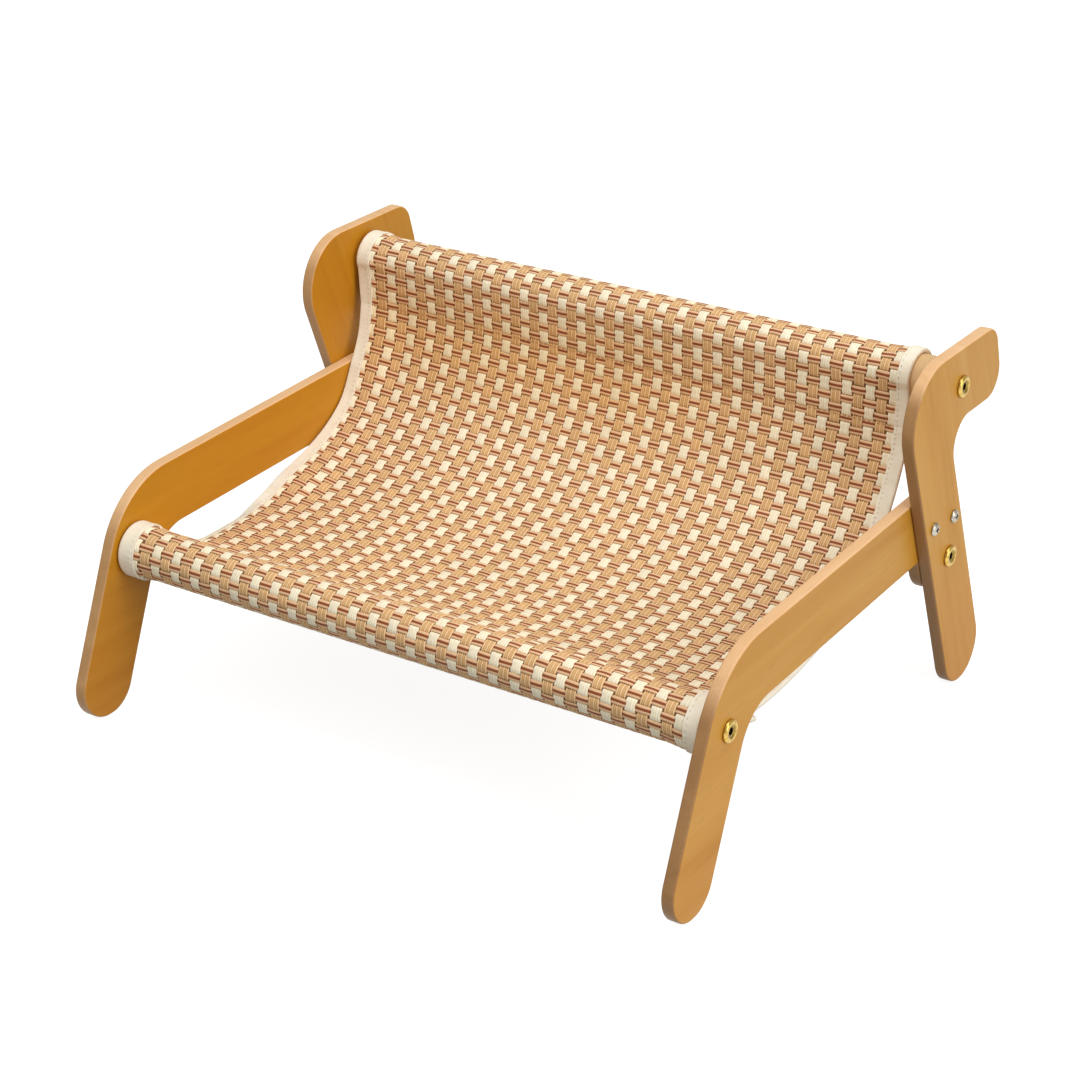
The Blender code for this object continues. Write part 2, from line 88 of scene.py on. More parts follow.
SHEET = 0.0014
SEAT_SLOPE = radians(-18.3)
SEAT_PULL = 0.0348
REST_SLOPE = radians(77.4)
REST_PULL = 0.1238
FRONT_SEAM_REACH = 0.0470
TOP_SEAM_REACH = 0.0343
TOP_SEAM_LINE = radians(63.0)
POCKET_TAIL = 0.0100
POCKET_EASE = 0.008
FRONT_HALF = 0.2305
WAIST_HALF = 0.2271
TOP_HALF = 0.2294
TOP_SHIFT = -0.0051
WAIST_AT = 0.74
MIDDLE_SAG = 0.002
SAG_END = 0.55
TAPE = 0.0008
TAPE_WIDTH = 0.0105

# The weave: cream strips and tan bundles run along the cloth, picks across it
COLUMNS = 13  # strips on each side of the middle one
CREAM_WIDTH = 0.0073
BUNDLE_WIDTH = 0.0078
PICK_WIDTH = 0.0053
PICK = 0.0072  # from one pick to the next, on average
NOMINAL = 0.2290  # half the flat width of the cloth


def heading(angle):
    return Vector((cos(angle), sin(angle)))


def left_of(direction):
    return Vector((-direction.y, direction.x))


def arc(centre, radius, start, end, step=radians(2.5)):
    count = max(2, ceil(abs(end - start) / step))
    return [centre + radius * heading(start + (end - start) * i / count) for i in range(count + 1)]


def rounded_corner(point_a, angle_a, point_b, angle_b, radius, step=radians(2.5)):
    """An arc from one line to another, each given by a point and an angle."""
    da, db = heading(angle_a), heading(angle_b)
    between = point_b - point_a
    along = (between.x * db.y - between.y * db.x) / (da.x * db.y - da.y * db.x)
    turn = (angle_b - angle_a + pi) % (2 * pi) - pi
    side = 1.0 if turn > 0 else -1.0
    start = point_a + da * along - da * radius * tan(abs(turn) / 2)
    normal = left_of(da) * side
    centre = start + normal * radius
    first = atan2(-normal.y, -normal.x)
    return arc(centre, radius, first, first + turn, step)


def smooth_step(t):
    t = np.clip(t, 0, 1)
    return t * t * (3 - 2 * t)


def beyond(value, start, run):
    """0 up to the start, eased to 1 over the run after it."""
    return smooth_step((value - start) / run)


# The side frames, seen from the side: x to the rear, y up
LEG_DROP = asin(FOOT_FLAT / LEG_WIDTH)
UPRIGHT_DROP = asin(FOOT_FLAT / UPRIGHT_WIDTH)
LEG_FOOT = Vector((0.0, cos(LEG_DROP) * LEG_WIDTH / 2))
UPRIGHT_FOOT = Vector((FOOT_SPREAD, cos(UPRIGHT_DROP) * UPRIGHT_WIDTH / 2))
LEG_ANGLE = pi / 2 - LEG_LEAN
UPRIGHT_ANGLE = pi / 2 + UPRIGHT_LEAN


def on_leg(height):
    return Vector((LEG_FOOT.x + (height - LEG_FOOT.y) * tan(LEG_LEAN), height))


def on_upright(height):
    return Vector((UPRIGHT_FOOT.x - (height - UPRIGHT_FOOT.y) * tan(UPRIGHT_LEAN), height))


FRONT_BOLT = on_leg(FRONT_BOLT_HEIGHT)
LOWER_BOLT = on_upright(LOWER_BOLT_HEIGHT)
TOP_BOLT = on_upright(TOP_BOLT_HEIGHT) + Vector((TOP_BOLT_BACK, 0.0))
SCREW_MIDDLE = on_upright(SCREW_HEIGHT)
SCREWS = {
    "front": SCREW_MIDDLE - heading(SCREW_TILT) * SCREW_SPACING / 2,
    "rear": SCREW_MIDDLE + heading(SCREW_TILT) * SCREW_SPACING / 2,
}
UPRIGHT_INNER = WIDTH / 2 - BOARD
ARM_OUTER = UPRIGHT_INNER - GAP
ARM_INNER = ARM_OUTER - BOARD


def foot(centre, width, angle, drop):
    """A round foot with a flat under it, for a leg at an angle."""
    first = arc(centre, width / 2, angle + pi / 2, 1.5 * pi - drop)
    return first + arc(centre, width / 2, 1.5 * pi + drop, angle + 1.5 * pi)


def arm_outline():
    leg_side = left_of(heading(LEG_ANGLE)) * LEG_WIDTH / 2
    upright_side = left_of(heading(UPRIGHT_ANGLE)) * UPRIGHT_WIDTH / 2
    top = Vector((0.0, ARM_TOP))
    bottom = Vector((0.0, ARM_TOP - ARM_DEPTH))
    outline = foot(LEG_FOOT, LEG_WIDTH, LEG_ANGLE, LEG_DROP)
    outline += rounded_corner(LEG_FOOT - leg_side, LEG_ANGLE, bottom, 0.0, LEG_INNER_BEND)
    outline += rounded_corner(bottom, 0.0, LOWER_BOLT + upright_side, UPRIGHT_ANGLE - pi, LOBE_CORNER,
                              radians(12))
    outline += arc(LOWER_BOLT, UPRIGHT_WIDTH / 2, UPRIGHT_ANGLE + pi / 2, UPRIGHT_ANGLE + 1.5 * pi)
    outline += rounded_corner(LOWER_BOLT - upright_side, UPRIGHT_ANGLE, top, pi, ARM_END_ROUND)
    outline += rounded_corner(top, pi, LEG_FOOT + leg_side, LEG_ANGLE + pi, LEG_OUTER_BEND)
    return outline


def upright_outline():
    side = left_of(heading(UPRIGHT_ANGLE)) * UPRIGHT_WIDTH / 2
    across = heading(-HEAD_TILT)
    top = TOP_BOLT + left_of(across) * HEAD_ABOVE_BOLT
    under = top - left_of(across) * HEAD_DEPTH
    end = TOP_BOLT + heading(HEAD_END_LEAN) * HEAD_END
    end_angle = pi / 2 + HEAD_END_LEAN
    outline = foot(UPRIGHT_FOOT, UPRIGHT_WIDTH, UPRIGHT_ANGLE, UPRIGHT_DROP)
    outline += rounded_corner(UPRIGHT_FOOT - side, UPRIGHT_ANGLE, under, -HEAD_TILT, HEAD_UNDER_BEND)
    outline += rounded_corner(under, -HEAD_TILT, end, end_angle, HEAD_LOW_ROUND)
    outline += rounded_corner(end, end_angle, top, pi - HEAD_TILT, HEAD_TOP_ROUND)
    outline += rounded_corner(top, pi - HEAD_TILT, UPRIGHT_FOOT + side, UPRIGHT_ANGLE - pi, HEAD_FRONT_BEND)
    return outline


ARM_OUTLINE = arm_outline()
UPRIGHT_OUTLINE = upright_outline()
MIDDLE = (min(p.x for p in ARM_OUTLINE) + max(p.x for p in UPRIGHT_OUTLINE)) / 2


# Meshes from arrays
def unit(rows):
    return rows / np.linalg.norm(rows, axis=1)[:, None]


def plain(values):
    return np.ascontiguousarray(values, dtype=np.float32).ravel()


def in_scene(name, data):
    obj = bpy.data.objects.new(name, data)
    bpy.context.scene.collection.objects.link(obj)
    return obj


def mesh_object(name, verts, quads, loose, material, attributes=None, uv=None, smooth=True):
    """An object from vertices, quads and a few faces of any size, with vertex attributes and a map."""
    mesh = bpy.data.meshes.new(name)
    quads = np.asarray(quads, dtype=np.int32).reshape(-1, 4)
    loose = [np.asarray(face, dtype=np.int32) for face in loose]
    mesh.vertices.add(len(verts))
    mesh.vertices.foreach_set("co", plain(verts))
    corners = np.concatenate([quads.ravel()] + loose)
    totals = np.array([4] * len(quads) + [len(face) for face in loose], np.int32)
    starts = (np.cumsum(totals) - totals).astype(np.int32)
    mesh.loops.add(len(corners))
    mesh.loops.foreach_set("vertex_index", corners)
    mesh.polygons.add(len(totals))
    mesh.polygons.foreach_set("loop_start", starts)
    mesh.polygons.foreach_set("loop_total", totals)
    mesh.polygons.foreach_set("use_smooth", np.full(len(totals), smooth))
    mesh.update(calc_edges=True)
    for key, values in (attributes or {}).items():
        layer = mesh.attributes.new(key, "FLOAT", "POINT")
        layer.data.foreach_set("value", plain(values))
    if uv is not None:
        layer = mesh.uv_layers.new(name="OFBake")
        layer.uv.foreach_set("vector", plain(uv))
    mesh.validate()
    mesh.materials.append(material)
    return in_scene(name, mesh)


def sweep(rows, closed_section=True):
    """Quads for a grid of rows of points; each row is a ring, unless closed_section is False."""
    here, there = rows[:-1], rows[1:]
    if closed_section:
        quads = np.stack([here, np.roll(here, -1, axis=1), np.roll(there, -1, axis=1), there], axis=-1)
    else:
        quads = np.stack([here[:, :-1], here[:, 1:], there[:, 1:], there[:, :-1]], axis=-1)
    return quads.reshape(-1, 4)


def tubes(rings):
    """Vertices, quads and end faces of separate tubes, each an array of rings of points."""
    verts, quads, caps = [], [], []
    base = 0
    for ring in rings:
        grid = base + np.arange(ring.shape[0] * ring.shape[1]).reshape(ring.shape[:2])
        verts.append(ring.reshape(-1, 3))
        quads.append(sweep(grid))
        caps += [grid[0][::-1], grid[-1]]
        base += grid.size
    return np.concatenate(verts), np.concatenate(quads), caps


# Node materials
def nodes_of(name):
    material = bpy.data.materials.new(name)
    material.use_nodes = True
    tree = material.node_tree
    return material, tree, tree.nodes["Principled BSDF"]


def add(tree, kind, **settings):
    node = tree.nodes.new("ShaderNode" + kind)
    for key, value in settings.items():
        setattr(node, key, value)
    return node


def link(tree, source, target):
    tree.links.new(source, target)


def put(node, **values):
    """Set inputs by their names, with underscores for spaces."""
    for name, value in values.items():
        node.inputs[name.replace("_", " ")].default_value = value
    return node


def ramp(tree, factor, stops):
    node = add(tree, "ValToRGB")
    elements = node.color_ramp.elements
    for element, (position, colour) in zip((elements[0], elements[-1]), (stops[0], stops[-1])):
        element.position = position
        element.color = (*colour, 1.0)
    for position, colour in stops[1:-1]:
        elements.new(position).color = (*colour, 1.0)
    link(tree, factor, node.inputs["Fac"])
    return node.outputs["Color"]


def feed(tree, value, socket):
    """Set a number or a colour on a socket, or link an output to it."""
    if isinstance(value, (int, float)):
        socket.default_value = value
    elif isinstance(value, tuple):
        socket.default_value = (*value, 1.0)
    else:
        link(tree, value, socket)


def blend_colours(tree, kind, factor, a, b):
    node = add(tree, "Mix", data_type="RGBA", blend_type=kind)
    for value, place in ((factor, 0), (a, 6), (b, 7)):
        feed(tree, value, node.inputs[place])
    return node.outputs[2]


def noise(tree, vector, scale, detail=4.0, rough=0.55, distortion=0.0):
    node = put(add(tree, "TexNoise"), Scale=scale, Detail=detail, Roughness=rough, Distortion=distortion)
    link(tree, vector, node.inputs["Vector"])
    return node.outputs["Fac"]


def mapped(tree, source, scale=(1, 1, 1), rotation=(0, 0, 0), location=(0, 0, 0)):
    node = put(add(tree, "Mapping"), Scale=scale, Rotation=rotation, Location=location)
    link(tree, source, node.inputs["Vector"])
    return node.outputs["Vector"]


def scaled(tree, factor, low, high, out_low, out_high):
    node = put(add(tree, "MapRange"), From_Min=low, From_Max=high, To_Min=out_low, To_Max=out_high)
    link(tree, factor, node.inputs["Value"])
    return node.outputs["Result"]


def maths(tree, operation, a, b):
    node = add(tree, "Math", operation=operation)
    feed(tree, a, node.inputs[0])
    feed(tree, b, node.inputs[1])
    return node.outputs[0]


def bump(tree, shader, height, strength, distance):
    node = put(add(tree, "Bump"), Strength=strength, Distance=distance)
    link(tree, height, node.inputs["Height"])
    link(tree, node.outputs["Normal"], shader.inputs["Normal"])


def coat(tree, shader, colour, factor, low, high):
    """Colour, and a roughness from low to high by a noise."""
    link(tree, colour, shader.inputs["Base Color"])
    link(tree, scaled(tree, factor, 0.3, 0.7, low, high), shader.inputs["Roughness"])


def attribute(tree, name):
    """A vertex attribute, or 0 on a mesh without it."""
    return add(tree, "Attribute", attribute_name=name).outputs["Fac"]


def shaded(tree, colour, value):
    """A colour times a number."""
    node = add(tree, "CombineColor")
    for socket in node.inputs:
        link(tree, value, socket)
    return blend_colours(tree, "MULTIPLY", 1.0, colour, node.outputs[0])


def axis(tree, vector, name):
    node = add(tree, "SeparateXYZ")
    link(tree, vector, node.inputs[0])
    return node.outputs[name]


def srgb(text):
    """A linear colour from six hexadecimal digits."""
    values = [int(text[i:i + 2], 16) / 255 for i in (0, 2, 4)]
    return tuple(v / 12.92 if v <= 0.04045 else ((v + 0.055) / 1.055) ** 2.4 for v in values)


# Sawn edges, light and dark: painted top light on those facing up, painted shade on the other ones, and on the
# other ones of the left boards
TOP_LIT_SAWN = (srgb("E6BE94"), srgb("D6A97A"))
SHADED_SAWN = (srgb("AC8358"), srgb("997148"))
SHADED_LEFT_SAWN = (srgb("C49A6C"), srgb("B4885A"))

# Scales of the grain: across the board, along the grain and across it
STREAKS = (30.0, 3.0, 60.0)
BROAD = (4.0, 2.2, 9.0)
PORES = (500.0, 60.0, 700.0)
PLIES = 170.0
LEG_SHADE_TINT = (0.98, 0.89, 0.68)  # painted shade on the legs, full and none at these heights
LEG_SHADE_FULL = 0.04
LEG_SHADE_NONE = 0.14


def wood(name, grain_angle, light, mid, dark, seed, sawn_shade=SHADED_SAWN):
    """Stained board with its grain along an angle in the side view, and its own painted shade on sawn edges,
    with painted top light where they face up.
    """
    material, tree, shader = nodes_of(name)
    coords = add(tree, "TexCoord").outputs["Object"]
    along = mapped(tree, coords, rotation=(-grain_angle, 0, 0), location=(seed, 0, 0))
    streaks = noise(tree, mapped(tree, along, scale=STREAKS), 1.0, 6.0, 0.62, 0.4)
    broad = noise(tree, mapped(tree, along, scale=BROAD), 1.0, 3.0, 0.5, 0.8)
    pores = noise(tree, mapped(tree, along, scale=PORES), 1.0, 2.0, 0.5)
    colour = ramp(tree, streaks, ((0.28, dark), (0.48, mid), (0.74, light)))
    tint = ramp(tree, broad, ((0.35, tuple(c * 0.95 for c in mid)), (0.65, light)))
    colour = blend_colours(tree, "MIX", 0.55, colour, tint)
    # Sawn edges: painted shade, and painted top light on those facing up
    sawn, top_lit = (ramp(tree, streaks, ((0.30, b), (0.70, a))) for a, b in (sawn_shade, TOP_LIT_SAWN))
    sawn = blend_colours(tree, "MIX", attribute(tree, "top_light_share"), sawn, top_lit)
    ply = add(tree, "TexWave", wave_type="BANDS", bands_direction="X", wave_profile="SIN")
    put(ply, Scale=PLIES, Distortion=1.2, Detail=2.0, Detail_Scale=0.6)
    link(tree, mapped(tree, coords, scale=(1.0, 0.10, 0.10)), ply.inputs["Vector"])
    layers = scaled(tree, ply.outputs["Fac"], 0.0, 1.0, 0.94, 1.02)
    sawn = shaded(tree, sawn, layers)
    # Painted shade, warmer and darker low on the legs
    low = scaled(tree, axis(tree, coords, "Z"), LEG_SHADE_FULL, LEG_SHADE_NONE, 1.0, 0.0)
    colour = blend_colours(tree, "MULTIPLY", low, colour, LEG_SHADE_TINT)
    colour = blend_colours(tree, "MIX", attribute(tree, "edge"), colour, sawn)
    fleck = scaled(tree, pores, 0.62, 0.74, 1.0, 0.90)
    colour = shaded(tree, colour, fleck)
    coat(tree, shader, colour, streaks, 0.50, 0.38)
    put(shader, Specular_IOR_Level=0.26)
    height = maths(tree, "ADD", maths(tree, "MULTIPLY", streaks, 0.6), maths(tree, "MULTIPLY", fleck, 0.5))
    bump(tree, shader, height, 0.25, 0.0004)
    return material


# Painted shade in the recesses of the heads, taken from the dark tone
RECESS_SHADE = 0.07


def metal(name, base, low, high, grime_and_shade):
    """Plated metal, from low to high in roughness, with painted shade in its recesses."""
    material, tree, shader = nodes_of(name)
    coords = add(tree, "TexCoord").outputs["Object"]
    cloud = noise(tree, coords, 420.0, 4.0)
    brushed = noise(tree, mapped(tree, coords, scale=(2500.0, 300.0, 300.0)), 1.0, 2.0)
    colour = ramp(tree, cloud, ((0.3, grime_and_shade), (0.6, base)))
    recess = maths(tree, "MULTIPLY", attribute(tree, "recess"), 0.92)
    colour = blend_colours(tree, "MIX", recess, colour, tuple(c * RECESS_SHADE for c in grime_and_shade))
    coat(tree, shader, colour, cloud, high, low)
    put(shader, Metallic=1.0)
    bump(tree, shader, brushed, 0.08, 0.0001)
    return material


# Stain of the right boards, and a copy with painted shade for the left ones: light, middle and dark
HONEY = (srgb("CD993A"), srgb("C1882C"), srgb("AE721D"))
SHADED_HONEY = (srgb("C58A1C"), srgb("BC7D12"), srgb("AA690A"))
MATERIALS = {
    "right_arm": wood("honey_arm", 0.0, *HONEY, 3.1),
    "right_upright": wood("honey_upright", UPRIGHT_ANGLE, *HONEY, 7.7),
    "left_arm": wood("shaded_honey_arm", 0.0, *SHADED_HONEY, 5.3, SHADED_LEFT_SAWN),
    "left_upright": wood("shaded_honey_upright", UPRIGHT_ANGLE, *SHADED_HONEY, 9.9, SHADED_LEFT_SAWN),
    "brass": metal("brass_plate", srgb("DEBE68"), 0.20, 0.36, srgb("B4904A")),
    "steel": metal("bright_steel", srgb("C9C3B6"), 0.24, 0.42, srgb("968F82")),
    "zinc": metal("zinc_insert", srgb("BDBFBD"), 0.28, 0.5, srgb("8D8F8E")),
}


ARRIS = 0.0013
ARRIS_STEPS = 7
SAWN_SHARE = 0.6  # of the arris has the colour of the sawn edge
TOP_LIGHT_FROM = 0.45  # painted top light on the edges from here, by the height of their normal
TOP_LIGHT_EASE = 0.4


def board(name, outline, start, material):
    """A board from its side outline, with both arrises rounded."""
    points = np.array([(p.x - MIDDLE, p.y) for p in outline])
    points = points[np.linalg.norm(points - np.roll(points, 1, axis=0), axis=1) > 1e-6]
    before = unit(points - np.roll(points, 1, axis=0))
    after = unit(np.roll(points, -1, axis=0) - points)
    tangent = unit(before + after)
    outward = np.stack([tangent[:, 1], -tangent[:, 0]], axis=1)
    profile = [(ARRIS - ARRIS * cos(a), ARRIS - ARRIS * sin(a)) for a in np.linspace(0, pi / 2, ARRIS_STEPS)]
    profile += [(BOARD - x, inset) for x, inset in profile[::-1]]
    verts, edge = [], []
    # Share of painted top light, by how far each edge faces up
    top_light_share = np.tile(beyond(outward[:, 1], TOP_LIGHT_FROM, TOP_LIGHT_EASE), len(profile))
    for x, inset in profile:
        ring = points - outward * inset
        verts.append(np.column_stack([np.full(len(ring), start + x), ring]))
        edge.append(np.full(len(ring), 1.0 if inset < ARRIS * SAWN_SHARE else 0.0))
    count = len(points)
    grid = np.arange(len(profile) * count).reshape(len(profile), count)
    quads = sweep(grid)
    caps = [grid[0], grid[-1][::-1]]
    attributes = {"edge": np.concatenate(edge), "top_light_share": top_light_share}
    obj = mesh_object(name, np.concatenate(verts), quads, caps, material, attributes)
    obj.data.set_sharp_from_angle(angle=radians(40))
    return obj


def turned(name, rings, sides, at, flip, material):
    """Rings of (x, radius or function of the angle, share of painted shade in a recess) skinned about X and
    placed.
    """
    angles = np.linspace(0, 2 * pi, sides, endpoint=False)
    verts, recess = [], []
    for x, radius, *deep in rings:
        recess.append(np.full(sides, deep[0] if deep else 0.0))
        reach = np.array([radius(a) if callable(radius) else radius for a in angles])
        verts.append(np.column_stack([np.full(sides, x), reach * np.cos(angles), reach * np.sin(angles)]))
    mirror = np.array([-1.0, -1.0, 1.0]) if flip else 1.0
    skin = np.array(verts) * mirror + np.array(at)
    obj = mesh_object(name, *tubes([skin]), material, {"recess": np.concatenate(recess)})
    obj.data.set_sharp_from_angle(angle=radians(35))
    return obj


def stand_in_for(obj, slot, *nodes):
    """Ride the only body and replace the solids that the piece shows; slot is not used."""
    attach(obj, "root")
    if nodes:
        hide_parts(*nodes)
    return obj


SIDES = (("left", -1), ("right", 1))
for side, sign in SIDES:
    arm_start = ARM_INNER if sign > 0 else -ARM_OUTER
    upright_start = UPRIGHT_INNER if sign > 0 else -WIDTH / 2
    for part, outline, start in (
        ("_arm", ARM_OUTLINE, arm_start), ("_upright", UPRIGHT_OUTLINE, upright_start)
    ):
        piece = board(side + part + "_board", outline, start, MATERIALS[side + part])
        stand_in_for(piece, "frame_wood", side + part)


# Heads: radii by the angle for the drives, then rings as turned() takes them
def hexagon(flat):
    return lambda angle: flat / cos(angle % (pi / 3) - pi / 6)


def cross(reach):
    half = reach * tan(pi / 12)

    def radius(angle):
        from_arm = (angle + pi / 4) % (pi / 2) - pi / 4
        if abs(from_arm) < pi / 12 + 0.001:
            return reach / cos(from_arm)
        return half / abs(sin(from_arm))

    return radius


HEAD_SIDES = 72
BOLT_HEAD = 0.0076
# In the rings of the heads, a third value is the share of painted recess shade
BOLT_RINGS = [
    (-0.004, 0.003), (0.0, 0.003), (0.0, 0.0073), (0.0003, BOLT_HEAD), (0.0012, BOLT_HEAD),
    (0.0018, 0.00735), (0.0023, 0.0068), (0.0026, 0.0062), (0.0027, 0.0056), (0.00258, 0.0050, 0.1),
    (0.00225, 0.0044, 0.35), (0.0019, 0.0038, 0.6), (0.0016, 0.0032, 0.55), (0.00152, hexagon(0.00245), 0.7),
    (0.0014, hexagon(0.0023), 1.0), (0.0003, hexagon(0.0023), 1.0), (0.0002, 0.0008, 1.0),
]
SCREW_RINGS = [
    (-0.003, 0.002), (0.0, 0.002), (0.0, 0.0044), (0.0004, 0.0047), (0.0009, 0.0046), (0.0014, 0.0042),
    (0.0018, 0.0037), (0.0022, 0.0031), (0.0024, 0.0027), (0.00238, cross(0.0023), 0.2),
    (0.0010, cross(0.0019), 1.0), (0.0008, 0.0003, 1.0),
]

FIXINGS = [
    ("front_bolt", FRONT_BOLT, ARM_OUTER), ("lower_bolt", LOWER_BOLT, WIDTH / 2),
    ("top_bolt", TOP_BOLT, WIDTH / 2),
]
FIXINGS += [(where + "_screw", point, WIDTH / 2) for where, point in SCREWS.items()]
LOOKS = {"bolt": (BOLT_RINGS, "brass", "brass_bolt"), "screw": (SCREW_RINGS, "steel", "steel_screw")}
for side, sign in SIDES:
    for fixing, point, face in FIXINGS:
        rings, plating, slot = LOOKS[fixing.split("_")[1]]
        name = side + "_" + fixing
        at = (sign * (face + GAP), point.x - MIDDLE, point.y)
        stand_in_for(turned(name + "_head", rings, HEAD_SIDES, at, sign < 0, MATERIALS[plating]), slot, name)
    for where in ("front", "lower", "top"):
        bpy.data.objects[side + "_" + where + "_insert"].material_slots[0].material = MATERIALS["zinc"]

DOWEL_BORE = 0.0033
DOWEL_END = ((0.0, 0.0014), (0.0003, 0.0009), (0.0008, 0.0003), (0.0014, 0.0))  # place from the end, inset
DOWEL_PLAIN = 0.02
DOWEL_SIDES = 96
DOWEL_WOOD = wood("pale_dowel", 0.0, srgb("E6C79C"), srgb("DBB583"), srgb("C79C66"), 1.3)
for name, point, half in (
    ("front_dowel", FRONT_BOLT, ARM_INNER - GAP),
    ("rear_crossbar", LOWER_BOLT, ARM_INNER - GAP),
    ("top_dowel", TOP_BOLT, UPRIGHT_INNER - GAP),
):
    end = [(-half, DOWEL_BORE)] + [(-half + x, DOWEL_RADIUS - inset) for x, inset in DOWEL_END]
    middle = np.linspace(-half + DOWEL_PLAIN, half - DOWEL_PLAIN, 24)
    rings = end + [(x, DOWEL_RADIUS) for x in middle] + [(-x, radius) for x, radius in end[::-1]]
    at = (0.0, point.x - MIDDLE, point.y)
    piece = turned(name + "_bar", rings, DOWEL_SIDES, at, False, DOWEL_WOOD)
    stand_in_for(piece, "dowel_wood", name)


# The sling's path seen from the side
TAPE_REACH = SHEET / 2 + GAP + TAPE
WRAP = DOWEL_RADIUS + GAP + SHEET / 2
FLARE = TAPE + GAP
LAYERS = 2 * TAPE_REACH + 2 * GAP


def bezier(a, b, c, d, count):
    points = []
    for i in range(count + 1):
        t = i / count
        points.append(a * (1 - t) ** 3 + b * 3 * t * (1 - t) ** 2 + c * 3 * t * t * (1 - t) + d * t ** 3)
    return points


def pocket(centre, seam, slope, turn):
    """Tail and first bend, the wrap round the dowel, and the bend where the sheet leaves the seam."""
    under = seam - left_of(heading(slope)) * LAYERS * turn
    tail = under + heading(slope) * POCKET_TAIL
    to_seam = seam - centre
    to_under = under - centre
    leave = atan2(to_seam.y, to_seam.x) + turn * acos(WRAP / to_seam.length)
    enter = atan2(to_under.y, to_under.x) - turn * acos((WRAP + FLARE) / to_under.length)
    sweep_angle = (turn * (enter - leave)) % (2 * pi)
    leaving = centre + heading(leave) * WRAP
    entering = centre + heading(enter) * WRAP
    inward = entering - under
    outward = seam - leaving
    first = rounded_corner(under, slope + pi, entering, atan2(inward.y, inward.x), POCKET_EASE)
    wrap = arc(centre, WRAP, enter, enter - turn * sweep_angle)
    last = rounded_corner(leaving, atan2(outward.y, outward.x), seam, slope, POCKET_EASE)
    return [tail] + first, wrap, last


def sling_path():
    """Points in the side view, and the places of both tails' seams, wraps and sheet seams."""
    seat = heading(SEAT_SLOPE)
    rest = heading(REST_SLOPE)
    front_seam = FRONT_BOLT + seat * FRONT_SEAM_REACH
    top_seam = TOP_BOLT - heading(TOP_SEAM_LINE) * TOP_SEAM_REACH
    front_tail, front_wrap, front_bend = pocket(FRONT_BOLT, front_seam, SEAT_SLOPE, 1)
    top_tail, top_wrap, top_bend = pocket(TOP_BOLT, top_seam, REST_SLOPE + pi, -1)
    handles = (front_seam + seat * SEAT_PULL, top_seam - rest * REST_PULL)
    middle = bezier(front_bend[-1], *handles, top_bend[-1], 160)[1:-1]
    points = []
    marks = []
    for group, place in (
        (front_tail, 1 + (len(front_tail) - 1) // 2), (front_wrap, 0), ([], -1),
        (front_bend, len(front_bend) // 2), (middle, None), (top_bend[::-1], len(top_bend) // 2),
        (top_wrap[::-1], 0), ([], -1), (top_tail[::-1], (len(top_tail) - 1) // 2),
    ):
        if place is not None:
            marks.append(len(points) + place)
        points += group
    return np.array([(p.x - MIDDLE, p.y) for p in points]), marks


PATH_SAMPLES = 1600
SMOOTHING = 11
SLEEVE_EASE = 0.004
NORMAL_Y, NORMAL_Z, SHARE = 2, 3, 5  # columns of the path's table


def path_tables():
    """Even, smoothed samples of the path: their lengths, a table of them, and the lengths at the marks."""
    raw, marks = sling_path()
    length = np.concatenate([[0], np.cumsum(np.linalg.norm(np.diff(raw, axis=0), axis=1))])
    on = np.linspace(0, length[-1], PATH_SAMPLES)
    points = np.stack([np.interp(on, length, raw[:, i]) for i in (0, 1)], axis=1)
    kernel = np.hanning(SMOOTHING)
    kernel /= kernel.sum()
    pad = SMOOTHING // 2
    before, after = 2 * points[0] - points[pad:0:-1], 2 * points[-1] - points[-2:-2 - pad:-1]
    padded = np.concatenate([before, points, after])
    points = np.stack([np.convolve(padded[:, i], kernel, mode="valid") for i in (0, 1)], axis=1)
    tangent = unit(np.gradient(points, axis=0))
    at = length[marks]
    front, top = (np.clip(np.minimum(on - at[i], at[i + 1] - on) / SLEEVE_EASE + 0.5, 0, 1) for i in (1, 5))
    sleeve = np.maximum(front, top)
    share = np.clip((on - at[2]) / (at[5] - at[2]), 0, 1)
    return on, np.column_stack([points, -tangent[:, 1], tangent[:, 0], sleeve, share]), at


S_ON, S_TABLE, MARKS = path_tables()
LENGTH = float(S_ON[-1])
TAIL_SEAM, WRAP_IN, LEAVES, FRONT_SEAM, REAR_SEAM, MEETS, WRAP_OUT, END_SEAM = MARKS


def eased(share):
    return (1 - np.cos(pi * np.clip(share, 0, 1))) / 2


def through(share, places, values):
    """The values at the places, eased from each place to the next."""
    steps = np.arange(len(places))
    number = np.interp(share, places, steps)
    whole = np.floor(number)
    return np.interp(whole + smooth_step(number - whole), steps, values)


def looked_up(s, column):
    return np.interp(s, S_ON, S_TABLE[:, column])


def half_width(s):
    share = looked_up(s, SHARE)
    low = FRONT_HALF + (WAIST_HALF - FRONT_HALF) * eased(share / WAIST_AT)
    high = WAIST_HALF + (TOP_HALF - WAIST_HALF) * eased((share - WAIST_AT) / (1 - WAIST_AT))
    return np.where(share < WAIST_AT, low, high)


